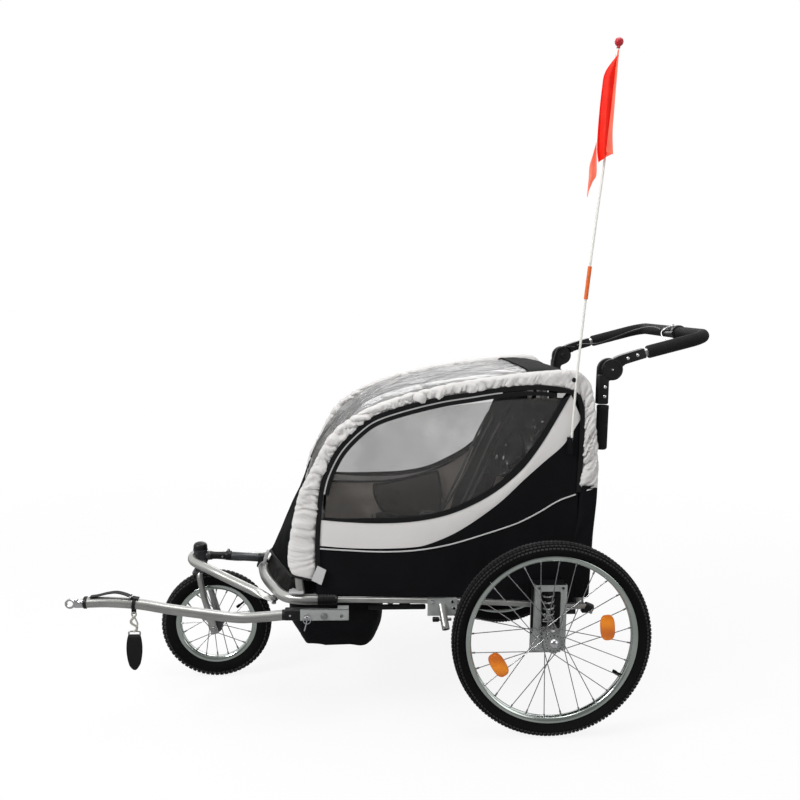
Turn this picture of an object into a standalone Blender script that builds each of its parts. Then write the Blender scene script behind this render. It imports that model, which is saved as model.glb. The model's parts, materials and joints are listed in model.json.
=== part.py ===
"""A child bike trailer with its stroller kit, at real size.

Lengths are in metres. X runs rearward, -Y is the left side with the tow bar, and Z is up.
Places are measured from the rear axle: x behind it, y from the middle, z above the ground.
"""

import math

import bmesh
import bpy
from mathutils import Matrix, Vector

# Clearances
GAP = 0.0003
RUN = 0.0005

# Rear wheels
WHEEL_R = 0.250
HALF_TRACK = 0.376
TYRE_R = 0.0235
RIM_OUT = 0.215
RIM_IN = 0.201
RIM_HALF = 0.0125
RIM_LIP = 0.002
RIM_WALL = 0.0045
RIM_STEPS = 28
SPOKES = 28
SPOKE_R = 0.0012
SPOKE_LAYER = 0.002
SPOKE_END_Y = 0.004
SPOKE_LACE = 65.0
SPOKE_PHASE = -16.7
FLANGE_R = 0.026
FLANGE_Y = 0.022
HUB_R = 0.0125
HUB_CAP_R = 0.0145
HUB_REACH = 0.034
AXLE_R = 0.006
REFLECTOR_W = 0.037
REFLECTOR_L = 0.066
REFLECTOR_T = 0.008
REFLECTORS = ((0.139, 15.0), (0.1456, -157.0))

# Front wheel, fork and head
FRONT_X = -0.880
FRONT_R = 0.155
FRONT_TYRE_R = 0.0215
FRONT_RIM_OUT = 0.1140
FRONT_RIM_IN = 0.1010
FRONT_RIM_HALF = 0.011
FRONT_SPOKES = 20
FRONT_STEPS = 24
FRONT_HUB_R = 0.016
FRONT_HUB_HALF = 0.030
FRONT_AXLE_R = 0.005
HEAD_X = -0.9235
HEAD_R = 0.020
HEAD_LIFT = 0.024
HEAD_H = 0.038
STEERER_R = 0.012
CROWN_T = 0.0115
FORK_HALF = 0.0475
BLADE_R = 0.0085
CAP_H = 0.014

# Stroller arm and its brace
ARM_R = 0.0125
ARM_NOSE = (-0.945, 0.350)
ARM_SIDE = (-0.829, 0.123, 0.326)
ARM_END = (-0.700, 0.211, 0.306)
BRACE_R = 0.012
BRACE_Z = 0.353
BRACE_JOINT_X = -0.843

# Floor frame
RAIL_IN = 0.101
RAIL_R = 0.008
RAIL_X = (-0.581, -0.217, 0.084, 0.118)
RAIL_Z = (0.321, 0.313, 0.297, 0.294)
PLUG_L = 0.018
CROSS_R = 0.008
CROSS_X = (-0.395, -0.250, 0.060)
BOW_R = 0.014
BOW_NOSE = -0.744
BOW_SHOULDER = (-0.700, 0.180)
SLEEVE_L = 0.050
STUB_X = -0.261
STUB_R = 0.010
STUB_LOW = 0.257
STUB_OUT = 0.043
JOINT_R = 0.0135

# Receiver and tow bar
WALL = 0.003
RECEIVER_X = (-0.623, -0.502)
RECEIVER_Z = (0.283, 0.321)
PIVOT_X = -0.563
PIVOT_Z = 0.294
PIN_STEP = 0.043
PIN_R = 0.004
BLOCK_W = 0.026
BLOCK_Z = (0.2815, 0.3085)
BLOCK_FRONT = -0.6625
TAIL_L = 0.018
TOW_R = 0.013
TOW_BORE = 0.0108
SPIGOT_L = 0.030
TOW_RUN = (
    (-0.777, 0.286), (-0.859, 0.297), (-0.951, 0.311), (-1.022, 0.324), (-1.094, 0.330),
)
TOW_END = (-1.147, 0.3295)
EYE_X = -1.190
EYE_R = 0.0075
EYE_T = 0.006
EYE_EDGE = 0.0055
STRAP_T = 0.0022
HANGER_X = -1.035
HOOK_DROP = 0.050
LOOP_W = 0.034
LOOP_L = 0.094

# Sprung rear axles
SPRUNG_X = 0.006
PLATE_HALF = 0.041
PLATE_Z = (0.202, 0.373)
CHANNEL_W = 0.044
WINDOW_HALF = 0.025
WINDOW_Z = (0.230, 0.358)
CARRIER_H = 0.036
TRAVEL = 0.030
COIL_R = 0.0150
WIRE_R = 0.0020
COILS = 7
DAMPER_R = 0.0095
GUIDE_R = 0.006
GUIDE_TOP = 0.085

# Cabin arches: x, z and the half width of the cloth sleeve round them
ARCH_IN = 0.005
ARCH_R = 0.011
ARCH = (
    (-0.623, 0.432, 0.034), (-0.605, 0.580, 0.027), (-0.562, 0.693, 0.0185),
    (-0.466, 0.790, 0.0175), (-0.327, 0.843, 0.0175), (-0.108, 0.881, 0.0210),
    (0.030, 0.887, 0.0240), (0.084, 0.862, 0.0220), (0.103, 0.740, 0.0180),
    (0.107, 0.610, 0.0220), (0.097, 0.460, 0.0270), (0.096, 0.330, 0.0240),
)
ARCH_FOOT_X = -0.604
FOOT_LIFT = 0.006
CROWN_X = (-0.300, -0.015)
CROWN_R = 0.008
SLEEVE_T = 0.018
PANEL_T = 0.003
SKIN_T = 0.0035
TUB_IN = 0.026
BAG_Z = 0.196
BAG_X = (-0.634, -0.421)
SEAT_HALF = 0.225
SEAT_T = 0.030
SEAT_LOW = (-0.200, 0.405)
SEAT_FRONT = (-0.430, 0.430)

# Handle
KNUCKLE = (0.160, 0.911)
KNUCKLE_IN = 0.020
KNUCKLE_R = 0.027
DISC_T = 0.0130
STEM_W = 0.031
SOCKET_X = 0.1445
SOCKET_Z = (0.704, 0.818)
SOCKET_R = 0.015
HANDLE_TILT = 19.3
ARM_L = 0.092
HANDLE_REACH = 0.254
HANDLE_TUBE_R = 0.0110
GRIP_R = 0.0165
CLAMP_T = 0.0035
CORNER_R = 0.075
BUTTON_R = 0.0085
BUTTON_T = 0.006
BUTTON_TRAVEL = 0.003
LEVER_Y = -0.050
LEVER_L = 0.062
CABLE_R = 0.0025

# Flag
POLE_R = 0.003
POLE_FOOT = (0.0510, 0.706)
POLE = ((0.0560, 0.860), (0.0645, 0.985), (0.0765, 1.127), (0.1080, 1.438), (0.1290, 1.684))
POCKET_H = 0.060
FERRULE_Z = (1.080, 1.175)
FERRULE_R = 0.0055
BALL_R = 0.0105
FLAG_T = 0.0014
FLAG_SLEEVE = (1.434, 1.668)
# Height, nearest and farthest reach from the pole, and depth of the folds
FLAG_ROWS = (
    (1.336, 0.030, 0.036, 0.002), (1.372, 0.019, 0.037, 0.005), (1.408, 0.012, 0.038, 0.008),
    (1.430, 0.000, 0.034, 0.010), (1.500, 0.000, 0.029, 0.013), (1.580, 0.000, 0.028, 0.012),
    (1.626, 0.000, 0.023, 0.009), (1.664, 0.000, 0.006, 0.002),
)

# The frame's middle lies halfway between the coupler's tip and the handle's back
FRONT_REACH = EYE_R + EYE_EDGE - EYE_X
TILT = math.radians(HANDLE_TILT)
HANDLE_BACK = KNUCKLE[0] + HANDLE_REACH * math.cos(TILT)
AXLE_X = (FRONT_REACH - HANDLE_BACK - GRIP_R - CLAMP_T) / 2

AXLE_Z = WHEEL_R
RAIL_Y = HALF_TRACK - RAIL_IN
STUB_Y = RAIL_Y + STUB_OUT
ARCH_Y = RAIL_Y - ARCH_IN
KNUCKLE_Y = RAIL_Y - KNUCKLE_IN
TUB_HALF = RAIL_Y - TUB_IN
HEAD_LOW = 2 * FRONT_R + HEAD_LIFT
HEAD_HIGH = HEAD_LOW + HEAD_H
BOW_Z = RAIL_Z[0]
BOW_OUT = RAIL_Y + BOW_R
TOW_Y = -(BOW_OUT + GAP + WALL + RUN + BLOCK_W / 2)
BACK_X = ARCH[9][0] + ARCH_R
SKIN_HALF = ARCH_Y - SLEEVE_T * math.cos(math.pi / 8) ** 0.75 - GAP
PLATE_IN_Y = RAIL_Y + RAIL_R + GAP
PLATE_OUT_Y = PLATE_IN_Y + WALL + CHANNEL_W
SPRUNG_Y = PLATE_IN_Y + WALL + CHANNEL_W / 2
FLAG_Y = -(ARCH_Y + SLEEVE_T + POLE_R + 2 * GAP)
UP = Vector((0, 0, 1))
ACROSS = Vector((0, 1, 0))
ALONG = Vector((1, 0, 0))


def clear_scene():
    for item in list(bpy.data.objects):
        bpy.data.objects.remove(item, do_unlink=True)


def finish(name, color, roughness, metallic=0.0):
    """A plain material in the part's own colour."""
    made = bpy.data.materials.get(name)
    if made is None:
        made = bpy.data.materials.new(name)
        made.use_nodes = True
        shader = made.node_tree.nodes["Principled BSDF"]
        shader.inputs["Base Color"].default_value = (*color, 1.0)
        shader.inputs["Roughness"].default_value = roughness
        shader.inputs["Metallic"].default_value = metallic
        made.diffuse_color = (*color, 1.0)
    return made


def silver():
    return finish("silver_paint", (0.62, 0.63, 0.62), 0.38, 0.75)


def zinc():
    return finish("zinc", (0.66, 0.67, 0.68), 0.32, 0.9)


def chrome():
    return finish("chrome", (0.78, 0.78, 0.80), 0.14, 1.0)


def dark_grey():
    return finish("dark_grey_paint", (0.06, 0.065, 0.07), 0.42, 0.2)


def black_plastic():
    return finish("black_plastic", (0.018, 0.018, 0.020), 0.42)


def foam():
    return finish("black_foam", (0.022, 0.022, 0.024), 0.85)


def tyre_rubber():
    return finish("tyre_rubber", (0.020, 0.020, 0.021), 0.75)


def cable_cover():
    return finish("cable_cover", (0.015, 0.015, 0.016), 0.45)


def black_cloth():
    return finish("black_cloth", (0.020, 0.020, 0.024), 0.88)


def grey_cloth():
    return finish("grey_cloth", (0.66, 0.65, 0.64), 0.85)


def clear_film():
    made = finish("clear_film", (0.80, 0.80, 0.79), 0.12)
    made.node_tree.nodes["Principled BSDF"].inputs["Alpha"].default_value = 0.35
    return made


def webbing():
    return finish("black_webbing", (0.016, 0.016, 0.018), 0.8)


def amber():
    return finish("amber_lens", (0.95, 0.32, 0.01), 0.18)


def signal():
    return finish("signal_orange", (0.90, 0.085, 0.035), 0.6)


def glass_fibre():
    return finish("glass_fibre", (0.80, 0.79, 0.76), 0.45)


def to_mesh(shape, name="shape"):
    """The finished mesh of a bmesh, faces out."""
    bmesh.ops.recalc_face_normals(shape, faces=shape.faces)
    mesh = bpy.data.meshes.new(name)
    shape.to_mesh(mesh)
    shape.free()
    return mesh


def boolean(base, tool, operation):
    """The mesh that a Boolean leaves of two meshes."""
    pair = []
    for mesh in (base, tool):
        item = bpy.data.objects.new("work", mesh)
        bpy.context.scene.collection.objects.link(item)
        pair.append(item)
    step = pair[0].modifiers.new("step", "BOOLEAN")
    step.object = pair[1]
    step.operation = operation
    graph = bpy.context.evaluated_depsgraph_get()
    result = bpy.data.meshes.new_from_object(pair[0].evaluated_get(graph))
    for item in pair:
        bpy.data.objects.remove(item, do_unlink=True)
    return result


def join(base, *others):
    for other in others:
        base = boolean(base, other, "UNION")
    return base


def cut(base, *cutters):
    for cutter in cutters:
        base = boolean(base, cutter, "DIFFERENCE")
    return base


def merged(*meshes):
    """Meshes that don't meet, as one mesh for a single Boolean."""
    shape = bmesh.new()
    for mesh in meshes:
        shape.from_mesh(mesh)
    return to_mesh(shape)


def moved(mesh, matrix):
    """A copy of the mesh, moved or turned."""
    copy = mesh.copy()
    copy.transform(matrix)
    if matrix.determinant() < 0:
        copy.flip_normals()
    return copy


def mirrored(mesh):
    return moved(mesh, Matrix.Scale(-1, 4, ACROSS))


def shifted(mesh, x=0.0, y=0.0, z=0.0):
    return moved(mesh, Matrix.Translation((x, y, z)))


def loft(rings, closed=False):
    """A skin through rings of equally many points, capped unless it closes on itself."""
    shape = bmesh.new()
    rows = [[shape.verts.new(point) for point in ring] for ring in rings]
    count = len(rows[0])
    spans = list(zip(rows, rows[1:]))
    if closed:
        spans.append((rows[-1], rows[0]))
    else:
        shape.faces.new(rows[0])
        shape.faces.new(rows[-1])
    for first, second in spans:
        for i in range(count):
            j = (i + 1) % count
            shape.faces.new((first[i], first[j], second[j], second[i]))
    return to_mesh(shape)


def frames(path, side):
    """For each point of a path: the point and two directions across it, the first near side."""
    found = []
    for i, point in enumerate(path):
        ahead = path[min(i + 1, len(path) - 1)] - path[max(i - 1, 0)]
        ahead.normalize()
        across = side - ahead * side.dot(ahead)
        across.normalize()
        found.append((point, across, ahead.cross(across)))
    return found


def rings_along(path, side, across, other, count, power=1.0):
    """Oval rings along a path. A power under 1 squares them off."""
    rings = []
    for i, (point, first, second) in enumerate(frames(path, side)):
        a = across[i] if isinstance(across, (list, tuple)) else across
        b = other[i] if isinstance(other, (list, tuple)) else other
        ring = []
        for k in range(count):
            turn = 2 * math.pi * (k + 0.5) / count
            c, s = math.cos(turn), math.sin(turn)
            c = math.copysign(abs(c) ** power, c)
            s = math.copysign(abs(s) ** power, s)
            ring.append(point + first * (a * c) + second * (b * s))
        rings.append(ring)
    return rings


def tube(path, radius, side=UP, count=8):
    """A solid round bar along a path."""
    path = [Vector(point) for point in path]
    return loft(rings_along(path, side, radius, radius, count))


def pipe(path, radius, bore, side=UP, count=12):
    """A round pipe, open at both ends."""
    path = [Vector(point) for point in path]
    outer = rings_along(path, side, radius, radius, count)
    inner = rings_along(path, side, bore, bore, count)
    return loft(outer + inner[::-1], closed=True)


def bar(low, high, radius, count=8):
    """A straight round bar between two points."""
    low, high = Vector(low), Vector(high)
    side = UP if abs((high - low).normalized().z) < 0.9 else ALONG
    return tube((low, high), radius, side, count)


def bends(points, radius, step=18.0):
    """A path of straight runs with an arc of this radius at each corner."""
    points = [Vector(point) for point in points]
    path = [points[0]]
    for before, corner, after in zip(points, points[1:], points[2:]):
        back = (before - corner).normalized()
        ahead = (after - corner).normalized()
        half = back.angle(ahead) / 2
        turn = math.pi - 2 * half
        reach = radius / math.tan(half)
        middle = (back + ahead).normalized()
        centre = corner + middle * (radius / math.sin(half))
        arm = corner + back * reach - centre
        axis = back.cross(ahead).normalized()
        steps = max(2, math.ceil(math.degrees(turn) / step))
        for k in range(steps + 1):
            path.append(centre + Matrix.Rotation(-turn * k / steps, 3, axis) @ arm)
    path.append(points[-1])
    return path


def through(points, spans=4):
    """A smooth curve through points, of any number of values each."""
    points = [Vector(point) if len(point) == 3 else Vector((*point, 0)) for point in points]
    ends = [points[0] * 2 - points[1]] + points + [points[-1] * 2 - points[-2]]
    path = []
    for a, b, c, d in zip(ends, ends[1:], ends[2:], ends[3:]):
        for k in range(spans):
            t = k / spans
            path.append(
                0.5 * (2 * b + (c - a) * t + (2 * a - 5 * b + 4 * c - d) * t * t
                       + (3 * b - a - 3 * c + d) * t * t * t)
            )
    path.append(points[-1])
    return path


def turned(profile, steps=24, ring=False):
    """A profile of (radius, height) turned about Z. A ring's profile closes on itself."""
    shape = bmesh.new()
    verts = [shape.verts.new((r, 0, h)) for r, h in profile]
    edges = [shape.edges.new(pair) for pair in zip(verts, verts[1:])]
    if ring:
        edges.append(shape.edges.new((verts[-1], verts[0])))
    bmesh.ops.spin(
        shape, geom=verts + edges, cent=(0, 0, 0), axis=(0, 0, 1),
        angle=2 * math.pi, steps=steps, use_merge=True,
    )
    bmesh.ops.remove_doubles(shape, verts=shape.verts, dist=1e-6)
    return to_mesh(shape)


def axle_turned(profile, steps=24, ring=False):
    """The same about the Y axis, its height growing towards -Y."""
    return moved(turned(profile, steps, ring), Matrix.Rotation(math.pi / 2, 4, "X"))


def arc(cx, cz, radius, start, end, steps):
    """Points of an arc in a flat outline, angles in degrees."""
    turn = [math.radians(start + (end - start) * k / steps) for k in range(steps + 1)]
    return [(cx + radius * math.cos(a), cz + radius * math.sin(a)) for a in turn]


def plate(outline, y_from, y_to):
    """An outline of (x, z) points extruded across the trailer."""
    low, high = sorted((y_from, y_to))
    return loft([[Vector((x, y, z)) for x, z in outline] for y in (low, high)])


def block(low, high, soften=0.0):
    """A box between two corners, its edges softened."""
    shape = bmesh.new()
    bmesh.ops.create_cube(shape, size=1)
    low, high = Vector(low), Vector(high)
    bmesh.ops.scale(shape, vec=high - low, verts=shape.verts)
    bmesh.ops.translate(shape, vec=(low + high) / 2, verts=shape.verts)
    if soften:
        bmesh.ops.bevel(
            shape, geom=list(shape.edges), offset=soften, segments=1, profile=0.5,
            affect="EDGES",
        )
    return to_mesh(shape)


def piece(name, mesh, material, origin=(0, 0, 0)):
    """A named piece of the trailer, its origin where it turns or slides."""
    for shade in mesh.polygons:
        shade.use_smooth = True
    mesh.set_sharp_from_angle(angle=math.radians(35))
    mesh.transform(Matrix.Translation(-Vector(origin)))
    mesh.name = name
    mesh.materials.clear()
    mesh.materials.append(material)
    item = bpy.data.objects.new(name, mesh)
    bpy.context.scene.collection.objects.link(item)
    item.location = origin
    item.parent = TRAILER
    return item


def both(name, mesh, material, origin=(0, 0, 0)):
    """The left piece and its mirror image on the right. The mesh given is the left one."""
    x, y, z = origin
    piece(name + "_right", mirrored(mesh), material, (x, -y, z))
    return piece(name + "_left", mesh, material, origin)


def spokes(count, radius, hub_r, hub_y, rim_r, rim_y, lace, phase=0.0):
    """Tangential spokes in two crossed layers on each side, each bar clear of the others."""
    bars = []
    for i in range(count):
        side = 1 if i % 2 else -1
        leading = (i // 2) % 2
        at_rim = 2 * math.pi * i / count + math.radians(phase)
        at_hub = at_rim - math.radians(lace if leading else -lace)
        layer = SPOKE_LAYER if leading else -SPOKE_LAYER
        low = (hub_r * math.cos(at_hub), side * (hub_y + layer), hub_r * math.sin(at_hub))
        high = (rim_r * math.cos(at_rim), side * (rim_y + layer), rim_r * math.sin(at_rim))
        bars.append(tube((low, high), radius, ACROSS, 4))
    return merged(*bars)


def rim_floor(rim_in, rim_half):
    """Radius and half width of the rim's inner floor, where the tyre's beads end."""
    return rim_in + RIM_WALL, rim_half * 0.36


def rim(rim_out, rim_in, rim_half, steps):
    floor_r, floor_half = rim_floor(rim_in, rim_half)
    side = [
        (rim_in, rim_half * 0.5), (rim_out, rim_half), (rim_out, rim_half - RIM_LIP),
        (floor_r, floor_half),
    ]
    other = [(r, -h) for r, h in reversed(side)]
    return axle_turned(side + other, steps, ring=True)


def tyre(wheel_r, tyre_r, rim_out, rim_in, rim_half, steps):
    """A solid tyre whose beads stand in the rim's channel."""
    centre = wheel_r - tyre_r
    seat = rim_out + GAP
    reach = math.degrees(math.acos((seat - centre) / tyre_r))
    floor_r, floor_half = rim_floor(rim_in, rim_half)
    foot = rim_out - RIM_WALL
    share = (foot - floor_r) / (rim_out - floor_r)
    foot_half = floor_half + (rim_half - RIM_LIP - floor_half) * share - 2 * GAP
    beads = [(seat, rim_half - RIM_LIP - 2 * GAP), (foot, foot_half)]
    beads += [(r, -h) for r, h in reversed(beads)]
    return axle_turned(arc(centre, 0, tyre_r, -reach, reach, 6) + beads, steps, ring=True)


def rear_hub():
    bore = AXLE_R + RUN
    half = FLANGE_Y + 0.0035
    inboard = HUB_REACH
    outboard = HUB_REACH - 0.005
    profile = [
        (bore, -inboard), (HUB_R - 0.002, -inboard), (HUB_R, -half),
        (FLANGE_R, -half), (FLANGE_R, 0.007 - half), (HUB_R, 0.010 - half),
        (HUB_R, half - 0.010), (FLANGE_R, half - 0.007), (FLANGE_R, half),
        (HUB_CAP_R, half + 0.001), (HUB_CAP_R, outboard - 0.002), (HUB_R - 0.002, outboard),
        (bore, outboard),
    ]
    return axle_turned(profile, 12, ring=True)


def rear_wheels():
    """Rim, spokes and hub in one, a tyre, and the axle that each wheel turns on."""
    centre = (0, -HALF_TRACK, AXLE_Z)
    fan = spokes(
        SPOKES, SPOKE_R, FLANGE_R - 0.0025, FLANGE_Y, RIM_IN + 0.0025, SPOKE_END_Y, SPOKE_LACE,
        SPOKE_PHASE,
    )
    hoop = rim(RIM_OUT, RIM_IN, RIM_HALF, RIM_STEPS)
    wheel = join(merged(rear_hub(), hoop), fan)
    both("rear_wheel", shifted(wheel, *centre), zinc(), centre)
    rubber = tyre(WHEEL_R, TYRE_R, RIM_OUT, RIM_IN, RIM_HALF, RIM_STEPS)
    both("rear_tyre", shifted(rubber, *centre), tyre_rubber(), centre)
    rear_axles(centre)
    reflectors(centre)


def rear_axles(centre):
    """A shouldered axle with a domed nut outside the hub."""
    neck = HALF_TRACK - (PLATE_OUT_Y + WALL + 0.002)
    start = HALF_TRACK - (PLATE_OUT_Y - CHANNEL_W * 0.5)
    outboard = HUB_REACH - 0.005
    profile = [
        (0, -start), (AXLE_R, -start), (AXLE_R, GAP - neck), (0.010, GAP - neck),
        (0.010, -HUB_REACH - GAP), (AXLE_R, -HUB_REACH - GAP), (AXLE_R, outboard + GAP),
        (0.0085, outboard + GAP), (0.0085, outboard + 0.004), (0.005, outboard + 0.0075),
        (0, outboard + 0.0075),
    ]
    axle = axle_turned(profile, 12)
    both("rear_axle", shifted(axle, *centre), zinc(), centre)


def reflectors(centre):
    """Amber reflectors clipped outside the spokes, two to a wheel."""
    near, far = FLANGE_R - 0.0025, RIM_IN + 0.0025
    lace = math.radians(SPOKE_LACE)
    long = math.sqrt(near ** 2 + far ** 2 - 2 * near * far * math.cos(lace))
    swerve = near * far * math.sin(lace) / long
    start = math.sqrt(near ** 2 - swerve ** 2)
    drop = math.atan2(FLANGE_Y - SPOKE_END_Y, long)
    for i, (radius, angle) in enumerate(REFLECTORS):
        along = math.sqrt(radius ** 2 - swerve ** 2) - start
        spoke_y = FLANGE_Y + SPOKE_LAYER - along * math.tan(drop)
        lens = block(
            (-REFLECTOR_W / 2, -REFLECTOR_T, -REFLECTOR_L / 2),
            (REFLECTOR_W / 2, 0, REFLECTOR_L / 2), 0.0025,
        )
        lens = moved(lens, Matrix.Rotation(drop, 4, "Z"))
        lens = shifted(lens, radius, -(spoke_y + SPOKE_R + GAP), 0)
        lens = moved(lens, Matrix.Rotation(-math.radians(angle), 4, "Y"))
        both(f"reflector_{i + 1}", shifted(lens, *centre), amber(), centre)


def sprung_plate():
    """The U-shaped bracket outside the rail, open fore and aft, with the spring's window."""
    low, high = PLATE_Z
    inner = PLATE_IN_Y + WALL
    outer = PLATE_OUT_Y
    section = [
        (-outer - WALL, low), (-outer - WALL, high), (-PLATE_IN_Y, high),
        (-PLATE_IN_Y, low - 0.026), (-inner, low - 0.026), (-inner, high - WALL),
        (-outer, high - WALL), (-outer, low),
    ]
    front, back = SPRUNG_X - PLATE_HALF, SPRUNG_X + PLATE_HALF
    channel = loft([[Vector((x, y, z)) for y, z in section] for x in (front, back)])
    window = block(
        (SPRUNG_X - WINDOW_HALF, -outer - 0.010, WINDOW_Z[0]),
        (SPRUNG_X + WINDOW_HALF, -outer + 0.008, WINDOW_Z[1]), 0.0015,
    )
    channel = cut(channel, window)
    guide = shifted(
        turned([
            (GUIDE_R + RUN, AXLE_Z + 0.050), (DAMPER_R, AXLE_Z + 0.050),
            (DAMPER_R, high - 0.001), (GUIDE_R + RUN, high - 0.001),
        ], 12, ring=True),
        SPRUNG_X, -SPRUNG_Y, 0,
    )
    tongue = block(
        (back - 0.005, -inner, AXLE_Z + 0.029), (back + 0.037, -PLATE_IN_Y, AXLE_Z + 0.042)
    )
    bolts = [
        bar((x, -outer, high - 0.0075), (x, -outer - WALL - 0.004, high - 0.0075), 0.0048, 6)
        for x in (front + 0.010, back - 0.010)
    ]
    return join(channel, guide, tongue, *bolts)


def axle_carrier():
    """The block that slides up the bracket's window with the axle, and its guide pin."""
    half_h = CARRIER_H / 2
    inner = PLATE_IN_Y + WALL + RUN
    outer = PLATE_OUT_Y - RUN
    body = block(
        (SPRUNG_X - WINDOW_HALF - 0.007, -outer, AXLE_Z - half_h),
        (SPRUNG_X + WINDOW_HALF + 0.007, -inner, AXLE_Z + half_h), 0.002,
    )
    neck = block(
        (SPRUNG_X - WINDOW_HALF + RUN, -PLATE_OUT_Y - WALL - 0.002, AXLE_Z - half_h),
        (SPRUNG_X + WINDOW_HALF - RUN, -outer + 0.006, AXLE_Z + half_h),
    )
    pin = bar(
        (SPRUNG_X, -SPRUNG_Y, AXLE_Z), (SPRUNG_X, -SPRUNG_Y, AXLE_Z + GUIDE_TOP), GUIDE_R, 12
    )
    bore = bar(
        (0, -PLATE_OUT_Y + CHANNEL_W * 0.5 + GAP, AXLE_Z), (0, -HALF_TRACK, AXLE_Z),
        AXLE_R + GAP, 12,
    )
    return cut(join(body, neck, pin), bore)


def coil_spring(name, side):
    """One unbroken wire, its end turns lying flat on the seats."""
    seat = AXLE_Z + CARRIER_H / 2 + GAP
    height = PLATE_Z[1] - WALL - GAP - seat
    per_turn = 7
    points = []
    for k in range(per_turn * COILS + 1):
        turns = k / per_turn
        rise = min(max((turns - 0.5) / (COILS - 1), 0.0), 1.0)
        angle = 2 * math.pi * turns
        level = WIRE_R + rise * (height - 2 * WIRE_R)
        points.append(Vector((COIL_R * math.cos(angle), COIL_R * math.sin(angle), level)))
    gap = min(
        (points[i] - points[j]).length - 2 * WIRE_R
        for i in range(len(points)) for j in range(i + per_turn // 2, len(points))
    )
    print(f"{name}: least gap between turns {gap * 1000:.2f} mm")
    wire = bpy.data.curves.new(name, "CURVE")
    wire.dimensions = "3D"
    wire.bevel_depth = WIRE_R
    wire.bevel_resolution = 1
    wire.use_fill_caps = True
    spline = wire.splines.new("POLY")
    spline.points.add(len(points) - 1)
    for knot, point in zip(spline.points, points):
        knot.co = (*point, 1)
    wire.materials.append(chrome())
    item = bpy.data.objects.new(name, wire)
    bpy.context.scene.collection.objects.link(item)
    item.location = (SPRUNG_X, side * SPRUNG_Y, seat)
    item.parent = TRAILER


def suspension():
    both("suspension_bracket", sprung_plate(), zinc())
    both("axle_carrier", axle_carrier(), black_plastic(), (SPRUNG_X, -SPRUNG_Y, AXLE_Z))
    coil_spring("spring_left", -1)
    coil_spring("spring_right", 1)


def front_wheel():
    centre = (FRONT_X, 0, FRONT_R)
    bore = FRONT_AXLE_R + RUN
    flange = 0.024
    end = FORK_HALF - 0.0065
    profile = [
        (bore, -end), (0.010, -end), (0.010, -flange - 0.003), (FRONT_HUB_R, -flange - 0.003),
        (FRONT_HUB_R, 0.004 - flange), (0.011, 0.006 - flange),
    ]
    profile += [(r, -h) for r, h in reversed(profile)]
    hub = axle_turned(profile, 12, ring=True)
    fan = spokes(
        FRONT_SPOKES, SPOKE_R, FRONT_HUB_R - 0.0022, flange, FRONT_RIM_IN + 0.0025, 0.0035, 50.0
    )
    hoop = rim(FRONT_RIM_OUT, FRONT_RIM_IN, FRONT_RIM_HALF, FRONT_STEPS)
    wheel = join(merged(hub, hoop), fan)
    piece("front_wheel", shifted(wheel, *centre), zinc(), centre)
    rubber = tyre(FRONT_R, FRONT_TYRE_R, FRONT_RIM_OUT, FRONT_RIM_IN, FRONT_RIM_HALF, FRONT_STEPS)
    piece("front_tyre", shifted(rubber, *centre), tyre_rubber(), centre)


def fork():
    """Crown, steerer, cup, two blades that flatten at the axle, and the axle bolt."""
    crown_low = 2 * FRONT_R
    crown_high = crown_low + CROWN_T
    crown = block(
        (HEAD_X - 0.016, -FORK_HALF, crown_low), (HEAD_X + 0.0115, FORK_HALF, crown_high), 0.003
    )
    stem = shifted(
        turned([
            (0, crown_low + 0.004), (HEAD_R - 0.003, crown_low + 0.004),
            (HEAD_R - 0.003, HEAD_LOW - GAP), (STEERER_R, HEAD_LOW - GAP),
            (STEERER_R, HEAD_HIGH - 0.001), (0, HEAD_HIGH - 0.001),
        ], 12),
        HEAD_X,
    )
    path = through((
        (HEAD_X - 0.002, -FORK_HALF + 0.008, crown_high - 0.007),
        (HEAD_X - 0.002, -FORK_HALF, crown_low - 0.012),
        (HEAD_X + 0.008, -FORK_HALF, FRONT_R + 0.100),
        (FRONT_X - 0.006, -FORK_HALF, FRONT_R + 0.012),
        (FRONT_X + 0.002, -FORK_HALF, FRONT_R - 0.020),
    ), 3)
    steps = len(path) - 1
    thick = [BLADE_R - (BLADE_R - 0.0035) * max(0, i / steps * 2.4 - 1.4) for i in range(steps + 1)]
    wide = [BLADE_R + 0.0025 * max(0, i / steps * 2.4 - 1.4) for i in range(steps + 1)]
    blade = loft(rings_along(path, ACROSS, thick, wide, 8))
    bolt = bar(
        (FRONT_X, -FORK_HALF - 0.009, FRONT_R), (FRONT_X, FORK_HALF + 0.009, FRONT_R),
        FRONT_AXLE_R, 8,
    )
    nuts = [
        bar((FRONT_X, side * (FORK_HALF + 0.002), FRONT_R),
            (FRONT_X, side * (FORK_HALF + 0.008), FRONT_R), 0.008, 6)
        for side in (-1, 1)
    ]
    whole = join(crown, stem, blade, mirrored(blade), bolt, *nuts)
    piece("fork", whole, silver(), (HEAD_X, 0, HEAD_LOW))


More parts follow.
